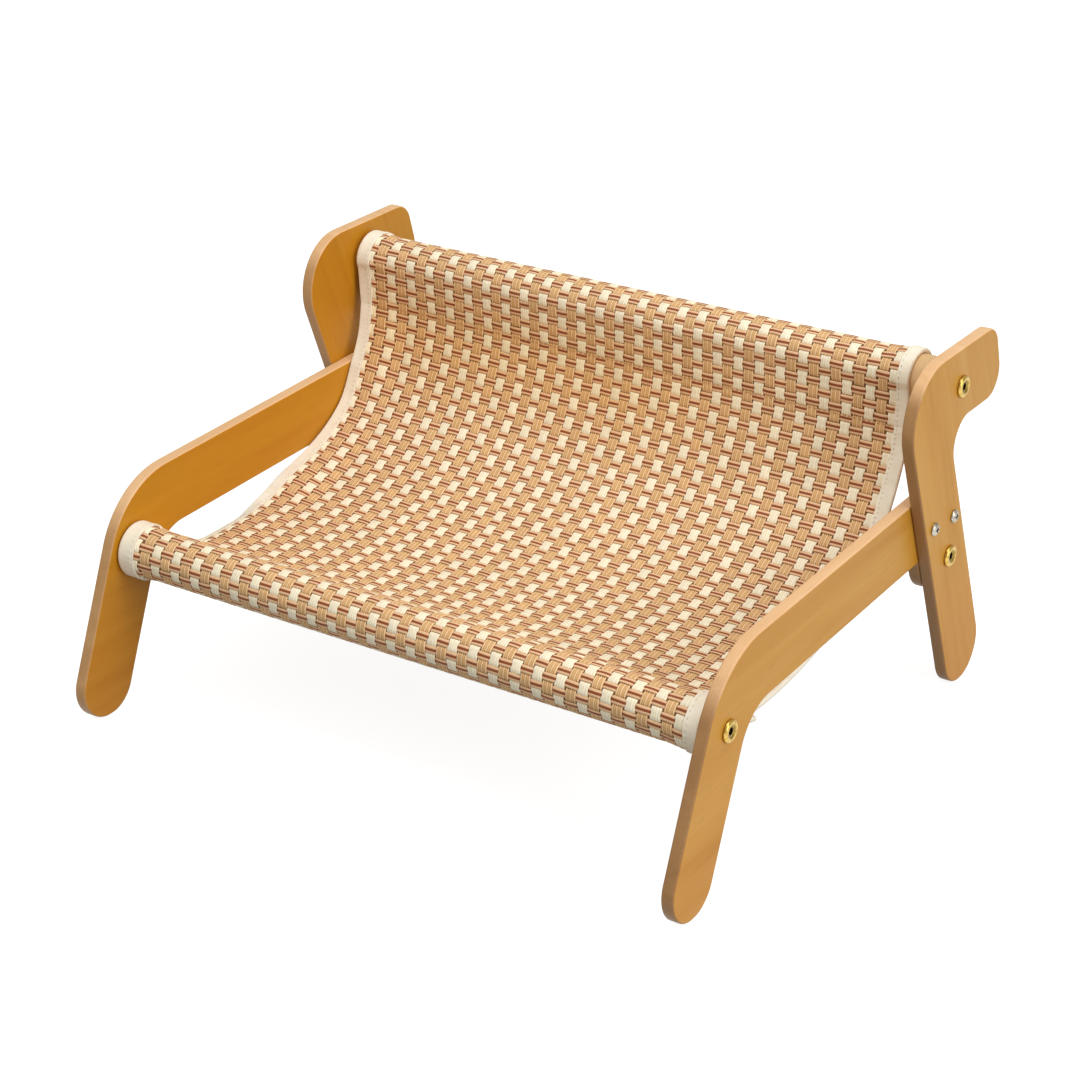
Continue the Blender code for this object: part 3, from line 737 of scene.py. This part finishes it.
# How the cloth hangs off its path.  Places across run from -1 at the left edge to 1 at the right one, and
# shares from 0 where the cloth leaves the front dowel to 1 where it meets the top one
HEM = 0.0265
HEM_EASE = 0.014
HANG_WIDTH = 0.204
HANG_POWER = 2.6
LEFT_RISE = 0.0030  # of the seat, besides its middle
RIGHT_RISE = 0.0028
LEFT_RISE_OVER = (0.30, 0.45)  # start and run, across the cloth
RIGHT_RISE_OVER = (0.05, 0.50)
MIDDLE_DIP = 0.0004
RISE_END = 0.55
BACK_LIFT = 0.0032
BACK_LIFT_RIGHT = 0.0024
BACK_LIFT_AT = ([0.55, 0.84, 0.90, 1.0], [0, 1, 0.9, 0])
RIM_CURL = ([0.36, 0.46, 0.68, 0.78, 0.86, 1.0], [0, 0.0052, 0.0008, 0.0053, 0.0040, 0])  # of the left edge
RIM_OVER = (0.80, 0.15)
DROOP = 0.0053  # of the left edge behind the front dowel
DROOP_AT = ([0.08, 0.20, 0.29, 0.38], [0, 1, 1, 0])
DROOP_OVER = (0.945, 0.055)
ENDS_FROM = 0.84  # the corners on the top dowel lie to the left
LEFT_END = 0.0027
RIGHT_END = 0.0042
ENDS_POWER = 12


def surface(s, x, lift):
    """World points of the cloth: s along the path, x from its middle line, lift towards the sitter."""
    s, x, lift = np.broadcast_arrays(s, x, lift)
    y, z, ny, nz, sleeve, share = (looked_up(s, i) for i in range(6))
    inset = half_width(s) - np.abs(x)
    flare = FLARE * sleeve * smooth_step((HEM - inset) / HEM_EASE)
    hang = 1 - np.clip(1 - (inset - HEM) / HANG_WIDTH, 0, 1) ** HANG_POWER
    sag = MIDDLE_SAG * np.sin(pi * np.minimum(1, share / SAG_END)) * np.clip(hang, 0, 1)
    across = np.clip(x / NOMINAL, -1, 1)
    rise = LEFT_RISE * beyond(-across, *LEFT_RISE_OVER) + RIGHT_RISE * beyond(across, *RIGHT_RISE_OVER)
    rise = rise - MIDDLE_DIP
    rise = rise * np.sin(pi * np.clip(share / RISE_END, 0, 1)) ** 2
    rise = rise + (BACK_LIFT + BACK_LIFT_RIGHT * across) * through(share, *BACK_LIFT_AT)
    rise = rise + through(share, *RIM_CURL) * beyond(-across, *RIM_OVER)
    droop = DROOP * through(share, *DROOP_AT) * beyond(-across, *DROOP_OVER)
    total = lift + flare - sag + rise - droop
    ends = beyond(share, ENDS_FROM, 1 - ENDS_FROM) * np.where(across < 0, LEFT_END, RIGHT_END)
    ends = ends * across ** ENDS_POWER
    return np.stack([x + TOP_SHIFT * share - ends, y + ny * total, z + nz * total], axis=-1)


def normal_at(s):
    return np.array([0.0, looked_up(s, NORMAL_Y), looked_up(s, NORMAL_Z)])


# Places of the weave.  The upper side of the cloth is measured along from where it leaves the front dowel
SEAT_LENGTH = 0.3503
OVER_DOWEL = (WRAP + SHEET / 2) / WRAP
FRONT_TURN = OVER_DOWEL * (LEAVES - WRAP_IN)
TOP_TURN = OVER_DOWEL * (WRAP_OUT - MEETS)
PATH_KNOTS = (0.0, WRAP_IN, LEAVES, MEETS, WRAP_OUT, LENGTH)
MEASURED_KNOTS = (
    -FRONT_TURN - WRAP_IN, -FRONT_TURN, 0.0, SEAT_LENGTH, SEAT_LENGTH + TOP_TURN,
    SEAT_LENGTH + TOP_TURN + LENGTH - WRAP_OUT,
)
PICK_NUMBERS = (-34.0, 6.0, 18.0, 98.0)
PICK_PLACES = (-0.3062, -0.0142, 0.0667, 0.6412)

# Lead of a pick in millimetres, by powers of the place across: at the front dowel, at the top one and on it
BOW_REACH = 0.217
FRONT_BOW = (-2.28, -1.01, -1.45)
TOP_BOW = (-1.19, 2.90, -1.10)
DOWEL_BOW = (0.97, -0.18, 0.0)
CORNER_LAG = 1.5  # at the front left
CORNER_OVER = (0.55, 0.4)
CORNER_END = 0.04
BOW_EASE = 0.02
HELD_LENGTH = 0.05  # the picks end straight at the tails
COLUMN_PITCH = 16.059  # millimetres
COLUMN_DRIFT = (-1.05, 8.82)  # millimetres, by the square and the cube of the place across
LEAN = (0.00089, -0.00145)  # of the columns to the right: at the front dowel, and the change from there
TOP_LEAN = (-0.0009, -0.0007)  # nearing the top dowel: in the middle, and the change to the right
TOP_LEAN_OVER = (0.86, 0.14)
FRONT_LEFT = 0.0021  # columns drawn in at the front dowel
FRONT_RIGHT = -0.0012


def weft_curve(centre, measured):
    """How far a pick leads or lags, at a place across, along the cloth."""
    k = centre / BOW_REACH
    front, top, dowel = (a * k + b * k ** 2 + c * k ** 3 for a, b, c in (FRONT_BOW, TOP_BOW, DOWEL_BOW))
    t = np.clip(measured / SEAT_LENGTH, 0, 1)
    held = beyond(measured, MEASURED_KNOTS[0], HELD_LENGTH)
    held = held * smooth_step((MEASURED_KNOTS[-1] - measured) / HELD_LENGTH)
    corner = CORNER_LAG * beyond(-k, *CORNER_OVER) * (1 - smooth_step(measured / CORNER_END))
    dowel = dowel * beyond(measured, SEAT_LENGTH - BOW_EASE, BOW_EASE)
    return 0.001 * held * (front * (1 - t) + top * t - corner + dowel)


def pick_number(s, centre):
    measured = np.interp(s, PATH_KNOTS, MEASURED_KNOTS)
    return np.interp(measured - weft_curve(centre, measured), PICK_PLACES, PICK_NUMBERS)


def pick_path(number, centre):
    measured = np.interp(number, PICK_NUMBERS, PICK_PLACES)
    return np.interp(measured + weft_curve(centre, measured), MEASURED_KNOTS, PATH_KNOTS)


def column_place(k):
    part = k / COLUMNS
    return 0.001 * (COLUMN_PITCH * k + COLUMN_DRIFT[0] * part ** 2 + COLUMN_DRIFT[1] * part ** 3)


def spread(centre, s):
    """Place across of a thread, drawn in with the edges where the cloth has its waist."""
    ratio = np.clip(np.abs(centre) / NOMINAL, 0, 1)
    share = looked_up(s, SHARE)
    part = centre / NOMINAL
    lean = LEAN[0] + LEAN[1] * share + (TOP_LEAN[0] + TOP_LEAN[1] * part) * beyond(share, *TOP_LEAN_OVER)
    front = FRONT_LEFT * np.clip((-part - 0.30) / 0.60, 0, 1) ** 1.3 * (1 - smooth_step(share / 0.25))
    front = front + FRONT_RIGHT * np.clip((part + 0.1) / 0.5, 0, 1) * (1 - beyond(share, 0.2, 0.3))
    drawn = (half_width(s) - NOMINAL) * np.sign(centre) * ratio ** 4
    return centre + drawn + lean * (1 - ratio ** 8) + front


STEEPNESS = 2.4


def wave(phase, bias):
    """A flattened cosine, from -1 to 1, that stays up longer where bias is positive."""
    return np.tanh(STEEPNESS * (np.cos(phase) + bias)) / np.tanh(STEEPNESS * (1 + abs(bias)))


def wander(place, number, *sines):
    """How far a thread strays: sines of (depth, rate, phase by the thread's number)."""
    return sum(depth * np.sin(place * rate + number * phase) for depth, rate, phase in sines)


UV_MARGIN = 0.04
SHADE_STEP = 0.618  # of a round per thread, so that neighbours differ
THREAD_INSET = 0.0008
PICK_INSET = 0.0016
PICK_LIFT = 0.00030
CREAM_LIFT = 0.00048
CREAM_BIAS = 0.22
TAN_LIFT = 0.00040
COLUMN_STEP = 0.016
STRAND_WANDER = ((0.00022, 95.0, 2.1), (0.00012, 237.0, 5.3))
PICK_WANDER = ((0.00018, 61.0, 1.7), (0.00010, 173.0, 4.1))
TAPE_WANDER = ((0.00018, 130.0, 1.0), (0.00012, 310.0, 0.0))


def ring_uv(index, total, girth, ahead):
    """Corners of the quads of one thread in the map: round the thread across, along it upwards."""
    u = (index + UV_MARGIN + (1 - 2 * UV_MARGIN) * girth / girth[-1]) / total
    order = ((0, 0), (1, 0), (1, 1), (0, 1))
    corner = [(u[None, i:len(u) - 1 + i], ahead[j:len(ahead) - 1 + j, None]) for i, j in order]
    return np.stack([np.stack(np.broadcast_arrays(a, b), -1) for a, b in corner], axis=2).reshape(-1, 2)


def threads(name, rings, section, material, marks):
    """One object from many threads; rings holds (points, place along from 0 to 1) for each of them."""
    around = len(section)
    edge = np.concatenate([section, section[:1]])
    girth = np.concatenate([[0], np.cumsum(np.linalg.norm(np.diff(edge, axis=0), axis=1))])
    verts, quads, caps = tubes([ring for ring, ahead in rings])
    uvs = [ring_uv(i, len(rings), girth, ahead) for i, (ring, ahead) in enumerate(rings)]
    uvs.append(np.full((around * len(caps), 2), 0.5 / len(rings)))
    shade = np.repeat(np.array(marks) * SHADE_STEP % 1.0, len(verts) // len(rings))
    attributes = {"strand": shade, "part": np.tile(section[:, 0], len(verts) // around)}
    obj = mesh_object(name, verts, quads, caps, material, attributes, np.concatenate(uvs))
    return stand_in_for(obj, "woven_sheet")


def strands(name, places, lift_of, section, material, per_pick, pinch=0.0):
    """Warp strands along the path, through the columns numbered in places, pinched where they lie on top."""
    s = np.linspace(THREAD_INSET, LENGTH - THREAD_INSET, int(LENGTH / PICK * per_pick))
    section = np.array(section)
    rings = []
    for k in places:
        centre = column_place(k)
        x = spread(centre, s) + wander(s, k, *STRAND_WANDER)
        phase = pi * pick_number(s, centre)
        lift = lift_of(phase)
        wide = 1 + pinch / 3 - pinch * np.clip(np.cos(phase), 0, 1) ** 3
        beside = x[:, None] + section[None, :, 0] * wide[:, None]
        rings.append((surface(s[:, None], beside, lift[:, None] + section[None, :, 1]), s / LENGTH))
    return threads(name, rings, section, material, places)


def picks(name, numbers, section, material, per_column):
    """Weft picks across the cloth: odd ones over the cream strips, even ones over the tan bundles."""
    reach = NOMINAL - PICK_INSET
    centre = np.linspace(reach, -reach, int(2 * reach / COLUMN_STEP * per_column))
    table = np.linspace(-COLUMNS - 1, COLUMNS + 1, 400)
    column = np.interp(centre, column_place(table), table)
    section = np.array(section)
    rings = []
    for number in numbers:
        over_cream = 1.0 if number % 2 else -1.0
        lift = over_cream * PICK_LIFT * wave(2 * pi * column, 0.0)
        s = pick_path(number, centre) + wander(centre, number, *PICK_WANDER)
        s = np.clip(s[:, None] + section[None, :, 0], 0.0, LENGTH)
        points = surface(s, spread(centre[:, None], s), lift[:, None] + section[None, :, 1])
        rings.append((points, (centre + reach) / (2 * reach)))
    return threads(name, rings, section, material, numbers)


# The back is warmer and darker below the top dowel: all of it between two heights, less to the right
BACK_SHADE = (0.97, 0.88, 0.74)
SHADE_RISING = (0.135, 0.180, 0.0, 1.0)
SHADE_FALLING = (0.200, 0.240, 1.0, 0.0)
SHADE_ACROSS = (0.0, 0.15, 1.0, 0.15)


def back_shade(tree, coords):
    height = axis(tree, coords, "Z")
    band = maths(tree, "MULTIPLY", scaled(tree, height, *SHADE_RISING), scaled(tree, height, *SHADE_FALLING))
    return maths(tree, "MULTIPLY", band, scaled(tree, axis(tree, coords, "X"), *SHADE_ACROSS))


def yarn_material(name, stops, scale, rough, stripes=None):
    """Paper-like yarn: colour by strand and by noise, with fine lengthwise lines in the surface."""
    material, tree, shader = nodes_of(name)
    coords = add(tree, "TexCoord").outputs["Object"]
    strand = attribute(tree, "strand")
    part = attribute(tree, "part")
    mottle = noise(tree, coords, scale, 3.0, 0.6)
    fibre = noise(tree, mapped(tree, coords, scale=(1900.0, 500.0, 500.0)), 1.0, 2.0, 0.5)
    if stripes:
        place = scaled(tree, part, -stripes / 2, stripes / 2, 0.0, 1.0)
        colour = ramp(tree, place, stops)
    else:
        colour = ramp(tree, mottle, stops)
    shade = maths(tree, "ADD", maths(tree, "MULTIPLY", strand, 0.5), mottle)
    shade = scaled(tree, shade, 0.3, 1.3, 0.90, 1.07)
    shade = maths(tree, "MULTIPLY", shade, scaled(tree, fibre, 0.3, 0.7, 0.93, 1.05))
    colour = shaded(tree, colour, shade)
    colour = blend_colours(tree, "MULTIPLY", back_shade(tree, coords), colour, BACK_SHADE)
    coat(tree, shader, colour, mottle, rough, rough + 0.14)
    put(shader, Specular_IOR_Level=0.30)
    bump(tree, shader, fibre, 0.35, 0.00025)
    return material


def cord_stops(cords, bodies, crease):
    """Colours across a flat bundle: a body for every cord, and painted shade in the crease at its sides."""
    stops = [(0.0, crease)]
    for i in range(cords):
        body = bodies[i % len(bodies)]
        stops += [((i + 0.18) / cords, body), ((i + 0.82) / cords, body), ((i + 1) / cords, crease)]
    return stops


CREAM_CORDS = 4
TAN_CORDS = 5
PICK_CORDS = 3
CREAM_STOPS = cord_stops(CREAM_CORDS, (srgb("FBF3E0"), srgb("F6ECD3")), srgb("E4D4B1"))
TAN_STOPS = cord_stops(TAN_CORDS, (srgb("ECC99C"), srgb("DFB17C")), srgb("AE7A44"))
CREAM = yarn_material("cream_strip", CREAM_STOPS, 260.0, 0.52, CREAM_WIDTH)
TAN = yarn_material("tan_bundle", TAN_STOPS, 300.0, 0.58, BUNDLE_WIDTH)
SALMON = srgb("E9C09A")
RED_BROWN = srgb("8E4A28")
SHADED_PICK_SIDE = srgb("C49464")
# Pick sides darker with painted shade; the red-brown middle is a dark yarn
WEFT = yarn_material("weft_pick", (
    (0.0, SHADED_PICK_SIDE), (0.08, SALMON), (0.31, SALMON), (0.37, RED_BROWN), (0.63, RED_BROWN), (0.69, SALMON),
    (0.92, SALMON), (1.0, SHADED_PICK_SIDE)
), 300.0, 0.55, PICK_WIDTH)


def corded(width, cords, deep, shallow):
    """Section of a flat bundle: a ridge for every cord above and below, with creases between them."""
    half = width / 2
    steps = 2 * cords
    upper = [(half - i * width / steps, deep if i % 2 else shallow) for i in range(1, steps)]
    lower = [(-x, -z) for x, z in upper]
    return [(-half, 0.0)] + lower + [(half, 0.0)] + upper


def flat_strip(half):
    """Section of a flat strip with thin sides."""
    side = half - 0.0003
    under = [(-half, 0.0), (-side, -0.00022), (0.0, -0.00026), (side, -0.00022), (half, 0.0)]
    over = [(side, 0.00020), (half * 0.45, 0.00028), (0.0, 0.00026), (-half * 0.45, 0.00028), (-side, 0.00020)]
    return under + over


CREAM_SECTION = flat_strip(CREAM_WIDTH / 2)
BUNDLE_SECTION = corded(BUNDLE_WIDTH, TAN_CORDS, 0.00042, 0.00010)
PICK_SECTION = corded(PICK_WIDTH, PICK_CORDS, 0.00045, 0.00014)


def cream_lift(phase):
    return CREAM_LIFT * wave(phase, CREAM_BIAS)


def tan_lift(phase):
    return -TAN_LIFT * wave(phase, 0.0)


GROUND_END = 0.0005
GROUND_SIDE = 0.0012
GROUND_HALF = 0.00006


def ground_sheet():
    """The thin sheet in the middle of the weave, which stands in for the sling."""
    rows = 340
    columns = 140
    s = np.linspace(GROUND_END, LENGTH - GROUND_END, rows)[:, None]
    x = np.linspace(-1, 1, columns)[None, :] * (half_width(s) - GROUND_SIDE)
    top = surface(s, x, GROUND_HALF)
    low = surface(s, x, -GROUND_HALF)
    verts = np.concatenate([top.reshape(-1, 3), low.reshape(-1, 3)])
    a = np.arange(rows * columns).reshape(rows, columns)
    b = a + rows * columns
    quads = [sweep(a, closed_section=False)[:, ::-1], sweep(b, closed_section=False)]
    rim = np.concatenate([a[0], a[1:, -1], a[-1, -2::-1], a[-2:0:-1, 0]])
    under = rim + rows * columns
    quads.append(np.stack([rim, np.roll(rim, -1), np.roll(under, -1), under], axis=-1))
    # Dark brown: painted shade that shows in the gaps between the threads
    material = yarn_material("gap_shade_ground", ((0.35, srgb("643E1E")), (0.65, srgb("80552E"))), 400.0, 0.7)
    obj = mesh_object("sling_ground", verts, np.concatenate(quads), (), material)
    return stand_in_for(obj, "woven_sheet", "sling")


ground = ground_sheet()
PINCH = 0.16  # of a strip's width where it lies on top
creams = range(-COLUMNS, COLUMNS + 1)
tans = [k + 0.5 for k in range(-COLUMNS, COLUMNS)]
numbers = np.arange(ceil(pick_number(0.004, 0.0)), int(pick_number(LENGTH - 0.004, 0.0)) + 1)
for i, chosen in enumerate((creams[:14], creams[14:])):
    strands("cream_strips_%d" % (i + 1), chosen, cream_lift, CREAM_SECTION, CREAM, 7, PINCH)
for i, chosen in enumerate((tans[:9], tans[9:18], tans[18:])):
    strands("tan_bundles_%d" % (i + 1), chosen, tan_lift, BUNDLE_SECTION, TAN, 6)
for i, chosen in enumerate(np.array_split(numbers, 4)):
    picks("weft_picks_%d" % (i + 1), chosen, PICK_SECTION, WEFT, 12)


# Binding tape folded over each edge
def tape_material():
    material, tree, shader = nodes_of("cream_tape")
    coords = add(tree, "TexCoord").outputs["Object"]
    mottle = noise(tree, coords, 90.0, 4.0, 0.6)
    twill = add(tree, "TexWave", wave_type="BANDS", bands_direction="DIAGONAL")
    put(twill, Scale=620.0, Distortion=0.6)
    link(tree, coords, twill.inputs["Vector"])
    fine = noise(tree, coords, 2200.0, 2.0)
    colour = ramp(tree, mottle, ((0.3, srgb("F1E7D4")), (0.7, srgb("FBF5E8"))))
    weave = scaled(tree, twill.outputs["Fac"], 0.0, 1.0, 0.93, 1.02)
    colour = shaded(tree, colour, weave)
    coat(tree, shader, colour, mottle, 0.78, 0.9)
    put(shader, Sheen_Weight=0.25, Sheen_Roughness=0.5)
    height = maths(tree, "ADD", twill.outputs["Fac"], maths(tree, "MULTIPLY", fine, 0.5))
    bump(tree, shader, height, 0.4, 0.0002)
    return material


CREAM_TAPE = tape_material()
TAPE_SHARP = radians(60)
TAPE_GAP = GAP * 0.8
TAPE_STEPS = 8  # of the flat part of its section
FOLD_STEPS = 12
FOLD_DEPTH = 0.98
TAPE_BELLY = 0.00012
TAPE_PLACES = 620
PUCKER = 0.00010  # along the stitches
PUCKER_AT = 0.0085
PUCKER_WIDTH = 0.0016
LEFT_WIDER = 0.30  # the left tape is folded wider at the front dowel
WIDER_END = 0.12
EDGE_PITCH = 0.0036
EDGE_INSET = 0.0086
EDGE_START = 0.003
EDGE_SHARE = 0.70  # of the pitch is thread
SEAM_PITCH = 0.0038
SEAM_SHARE = 0.66
SEAM_START = 0.012  # from the left edge, and from the right one
SEAM_END = 0.014
THREAD_SIZE = 0.00028
SEAM_LIFT = 0.00085


def tape_share(s, side):
    """The width of the tape as a share of its plain one."""
    return 1 + (LEFT_WIDER if side < 0 else 0.0) * (1 - smooth_step(looked_up(s, SHARE) / WIDER_END))


def binding(name, side):
    inner = SHEET / 2 + TAPE_GAP
    outer = inner + TAPE
    bend = (outer + inner) / 2
    flat = [(i / TAPE_STEPS, TAPE_BELLY * sin(pi * i / TAPE_STEPS)) for i in range(TAPE_STEPS + 1)]
    fold = [pi * i / FOLD_STEPS for i in range(1, FOLD_STEPS)]
    section = [(TAPE_WIDTH - (TAPE_WIDTH - bend) * t, outer - belly) for t, belly in flat]
    section += [(bend - bend * sin(angle) * FOLD_DEPTH, outer * cos(angle)) for angle in fold]
    section += [(bend + (TAPE_WIDTH - bend) * t, belly - outer) for t, belly in flat]
    section += [(TAPE_WIDTH, -inner), (bend, -inner), (TAPE, -inner * 0.5), (TAPE, inner * 0.5), (bend, inner)]
    section.append((TAPE_WIDTH, inner))
    depth, height = np.array(section).T[:, None]
    s = np.linspace(0.0, LENGTH, TAPE_PLACES)[:, None]
    inset = depth * np.where(depth > 0.002, tape_share(s, side), 1.0)
    inset = inset + wander(s, side, *TAPE_WANDER) * (depth > 0.004)
    pucker = PUCKER * np.sin(s * 2 * pi / EDGE_PITCH)
    pucker = pucker * np.exp(-((depth - PUCKER_AT) / PUCKER_WIDTH) ** 2)
    lift = height + pucker * np.sign(height)
    ring = surface(s, side * (half_width(s) - inset), lift)
    grid = np.arange(lift.size).reshape(lift.shape)
    caps = [grid[0][::-side], grid[-1][::side]]
    obj = mesh_object(name, ring.reshape(-1, 3), sweep(grid)[:, ::side], caps, CREAM_TAPE)
    obj.data.set_sharp_from_angle(angle=TAPE_SHARP)
    return stand_in_for(obj, "binding_tape", name.replace("_tape", "_binding"))


tapes = [binding(side + "_edge_tape", sign) for side, sign in SIDES]


STITCH_RINGS = 7
STITCH_SIDES = 6


def stitches(name, rows, material, slot):
    """Short arched threads on the cloth; rows holds the start, the end and the normal of each."""
    bent = []
    for a, b, up in rows:
        a, b, up = np.array(a), np.array(b), np.array(up)
        run = b - a
        run_length = np.linalg.norm(run)
        run = run / run_length
        out = np.cross(run, up)
        rings = []
        for t in np.linspace(0, 1, STITCH_RINGS):
            arch = sin(pi * t)
            centre = a + run * run_length * t + up * (arch * THREAD_SIZE * 0.9 - THREAD_SIZE * 0.4)
            size = THREAD_SIZE * (0.55 + 0.45 * min(1.0, 3 * min(t, 1 - t) + 0.2))
            angles = np.linspace(0, 2 * pi, STITCH_SIDES, endpoint=False)
            rings.append(centre + size * (np.cos(angles)[:, None] * out + np.sin(angles)[:, None] * up))
        bent.append(np.array(rings))
    return stand_in_for(mesh_object(name, *tubes(bent), material), slot)


def edge_rows(side):
    """Stitches along a tape, on both its faces."""
    rows = []
    for i in range(int((LENGTH - 2 * EDGE_START) / EDGE_PITCH)):
        s = EDGE_START + i * EDGE_PITCH
        x = side * (half_width(s) - EDGE_INSET * tape_share(s, side))
        for face in (1, -1):
            lift = face * (SHEET / 2 + TAPE_GAP + TAPE)
            up = normal_at(s + EDGE_PITCH * EDGE_SHARE / 2) * face
            rows.append((surface(s, x, lift), surface(s + EDGE_PITCH * EDGE_SHARE, x, lift), up))
    return rows


def seam_rows(s_sheet, s_tail):
    """Rows of stitches along the width that hold the end of a pocket to the sheet."""
    rows = []
    x = -NOMINAL + SEAM_START
    while x < NOMINAL - SEAM_END:
        for s, face in ((s_sheet, 1), (s_tail, -1)):
            lift = face * SEAM_LIFT
            far = surface(s, x + SEAM_PITCH * SEAM_SHARE, lift)
            rows.append((surface(s, x, lift), far, normal_at(s) * face))
        x += SEAM_PITCH
    return rows


THREAD = yarn_material("thread", ((0.35, srgb("E9DFCC")), (0.65, srgb("F6F1E6"))), 500.0, 0.6)
SEAM_THREAD = yarn_material("seam_thread", ((0.35, srgb("B9834C")), (0.65, srgb("D3A070"))), 500.0, 0.6)
edge_stitching = [
    stitches(side + "_edge_stitching", edge_rows(sign), THREAD, "binding_tape") for side, sign in SIDES
]
seam_stitching = [
    stitches(end + "_seam_stitching", seam_rows(*seams), SEAM_THREAD, "woven_sheet")
    for end, *seams in (("front", FRONT_SEAM, TAIL_SEAM), ("rear", REAR_SEAM, END_SEAM))
]


# Room, lamps and camera
FLOOR_HALF = 30
FLOOR_COLOUR = (0.36, 0.38, 0.41)
FLOOR_GLOW = 0.86
ROOM_TINT = (1.0, 0.94, 0.80)
ROOM_LIGHT = 0.58
LAMP_SIZE = 1.6


def backdrop():
    """A floor that looks white and keeps the shadow."""
    verts = [(x * FLOOR_HALF, y * FLOOR_HALF, 0) for x, y in ((-1, -1), (1, -1), (1, 1), (-1, 1))]
    material, tree, shader = nodes_of("white_floor")
    put(shader, Base_Color=(*FLOOR_COLOUR, 1.0), Roughness=0.9, Specular_IOR_Level=0.0)
    path = add(tree, "LightPath")
    seen = maths(tree, "MAXIMUM", path.outputs["Is Camera Ray"], path.outputs["Is Glossy Ray"])
    seen = maths(tree, "MAXIMUM", seen, path.outputs["Is Transmission Ray"])
    glow = put(add(tree, "Emission"), Color=(1, 1, 1, 1))
    link(tree, maths(tree, "MULTIPLY", seen, FLOOR_GLOW), glow.inputs["Strength"])
    both = add(tree, "AddShader")
    link(tree, shader.outputs[0], both.inputs[0])
    link(tree, glow.outputs[0], both.inputs[1])
    link(tree, both.outputs[0], tree.nodes["Material Output"].inputs["Surface"])
    floor = mesh_object("floor", np.array(verts, float), [[0, 1, 2, 3]], (), material, smooth=False)


backdrop()

world = bpy.data.worlds.new("room")
bpy.context.scene.world = world
world.use_nodes = True
tree = world.node_tree
background = tree.nodes["Background"]
path = add(tree, "LightPath")
seen = maths(tree, "MAXIMUM", path.outputs["Is Camera Ray"], path.outputs["Is Transmission Ray"])
link(tree, blend_colours(tree, "MIX", seen, ROOM_TINT, (1.0, 1.0, 1.0)), background.inputs["Color"])
link(tree, scaled(tree, seen, 0.0, 1.0, ROOM_LIGHT, 1.0), background.inputs["Strength"])


def lamp(name, at, target, power, colour):
    data = bpy.data.lights.new(name, "AREA")
    data.shape = "DISK"
    data.size = LAMP_SIZE
    data.energy = power
    data.color = colour
    obj = in_scene(name, data)
    obj.location = at
    obj.rotation_euler = (Vector(target) - Vector(at)).to_track_quat("-Z", "Y").to_euler()


lamp("key", (0.3, -0.3, 2.8), (0, 0, 0.1), 35.0, (1.0, 1.0, 1.0))
lamp("side", (2.4, -0.4, 1.2), (0, 0, 0.1), 30.0, (1.0, 0.98, 0.94))

# The camera, fitted to the photo
AZIMUTH = radians(34.290)
ELEVATION = radians(26.618)
ROLL = radians(-1.478)
CAMERA_AT = (0.9111, -1.1381 - MIDDLE, 0.9219)
AIM_LEFT = 0.00030
AIM_DOWN = 0.00034
FOCAL_PIXELS = 2613.3
PHOTO_PIXELS = 1080

camera = bpy.data.cameras.new("camera")
camera_object = in_scene("camera", camera)
forward = Vector((-sin(AZIMUTH) * cos(ELEVATION), cos(AZIMUTH) * cos(ELEVATION), -sin(ELEVATION)))
right = Vector((cos(AZIMUTH), sin(AZIMUTH), 0.0))
up = right.cross(forward)
forward = (forward - right * AIM_LEFT - up * AIM_DOWN).normalized()
right = forward.cross(Vector((0.0, 0.0, 1.0))).normalized()
up = right.cross(forward)
turned_right = right * cos(ROLL) + up * sin(ROLL)
turned_up = up * cos(ROLL) - right * sin(ROLL)
rows = [(turned_right[i], turned_up[i], -forward[i], CAMERA_AT[i]) for i in range(3)]
camera_object.matrix_world = Matrix(rows + [(0, 0, 0, 1)])
camera.sensor_width = 36.0
camera.lens = FOCAL_PIXELS / PHOTO_PIXELS * camera.sensor_width
camera.clip_start = 0.01
camera.clip_end = 200.0
bpy.context.scene.camera = camera_object

bpy.context.scene.view_settings.view_transform = "Standard"
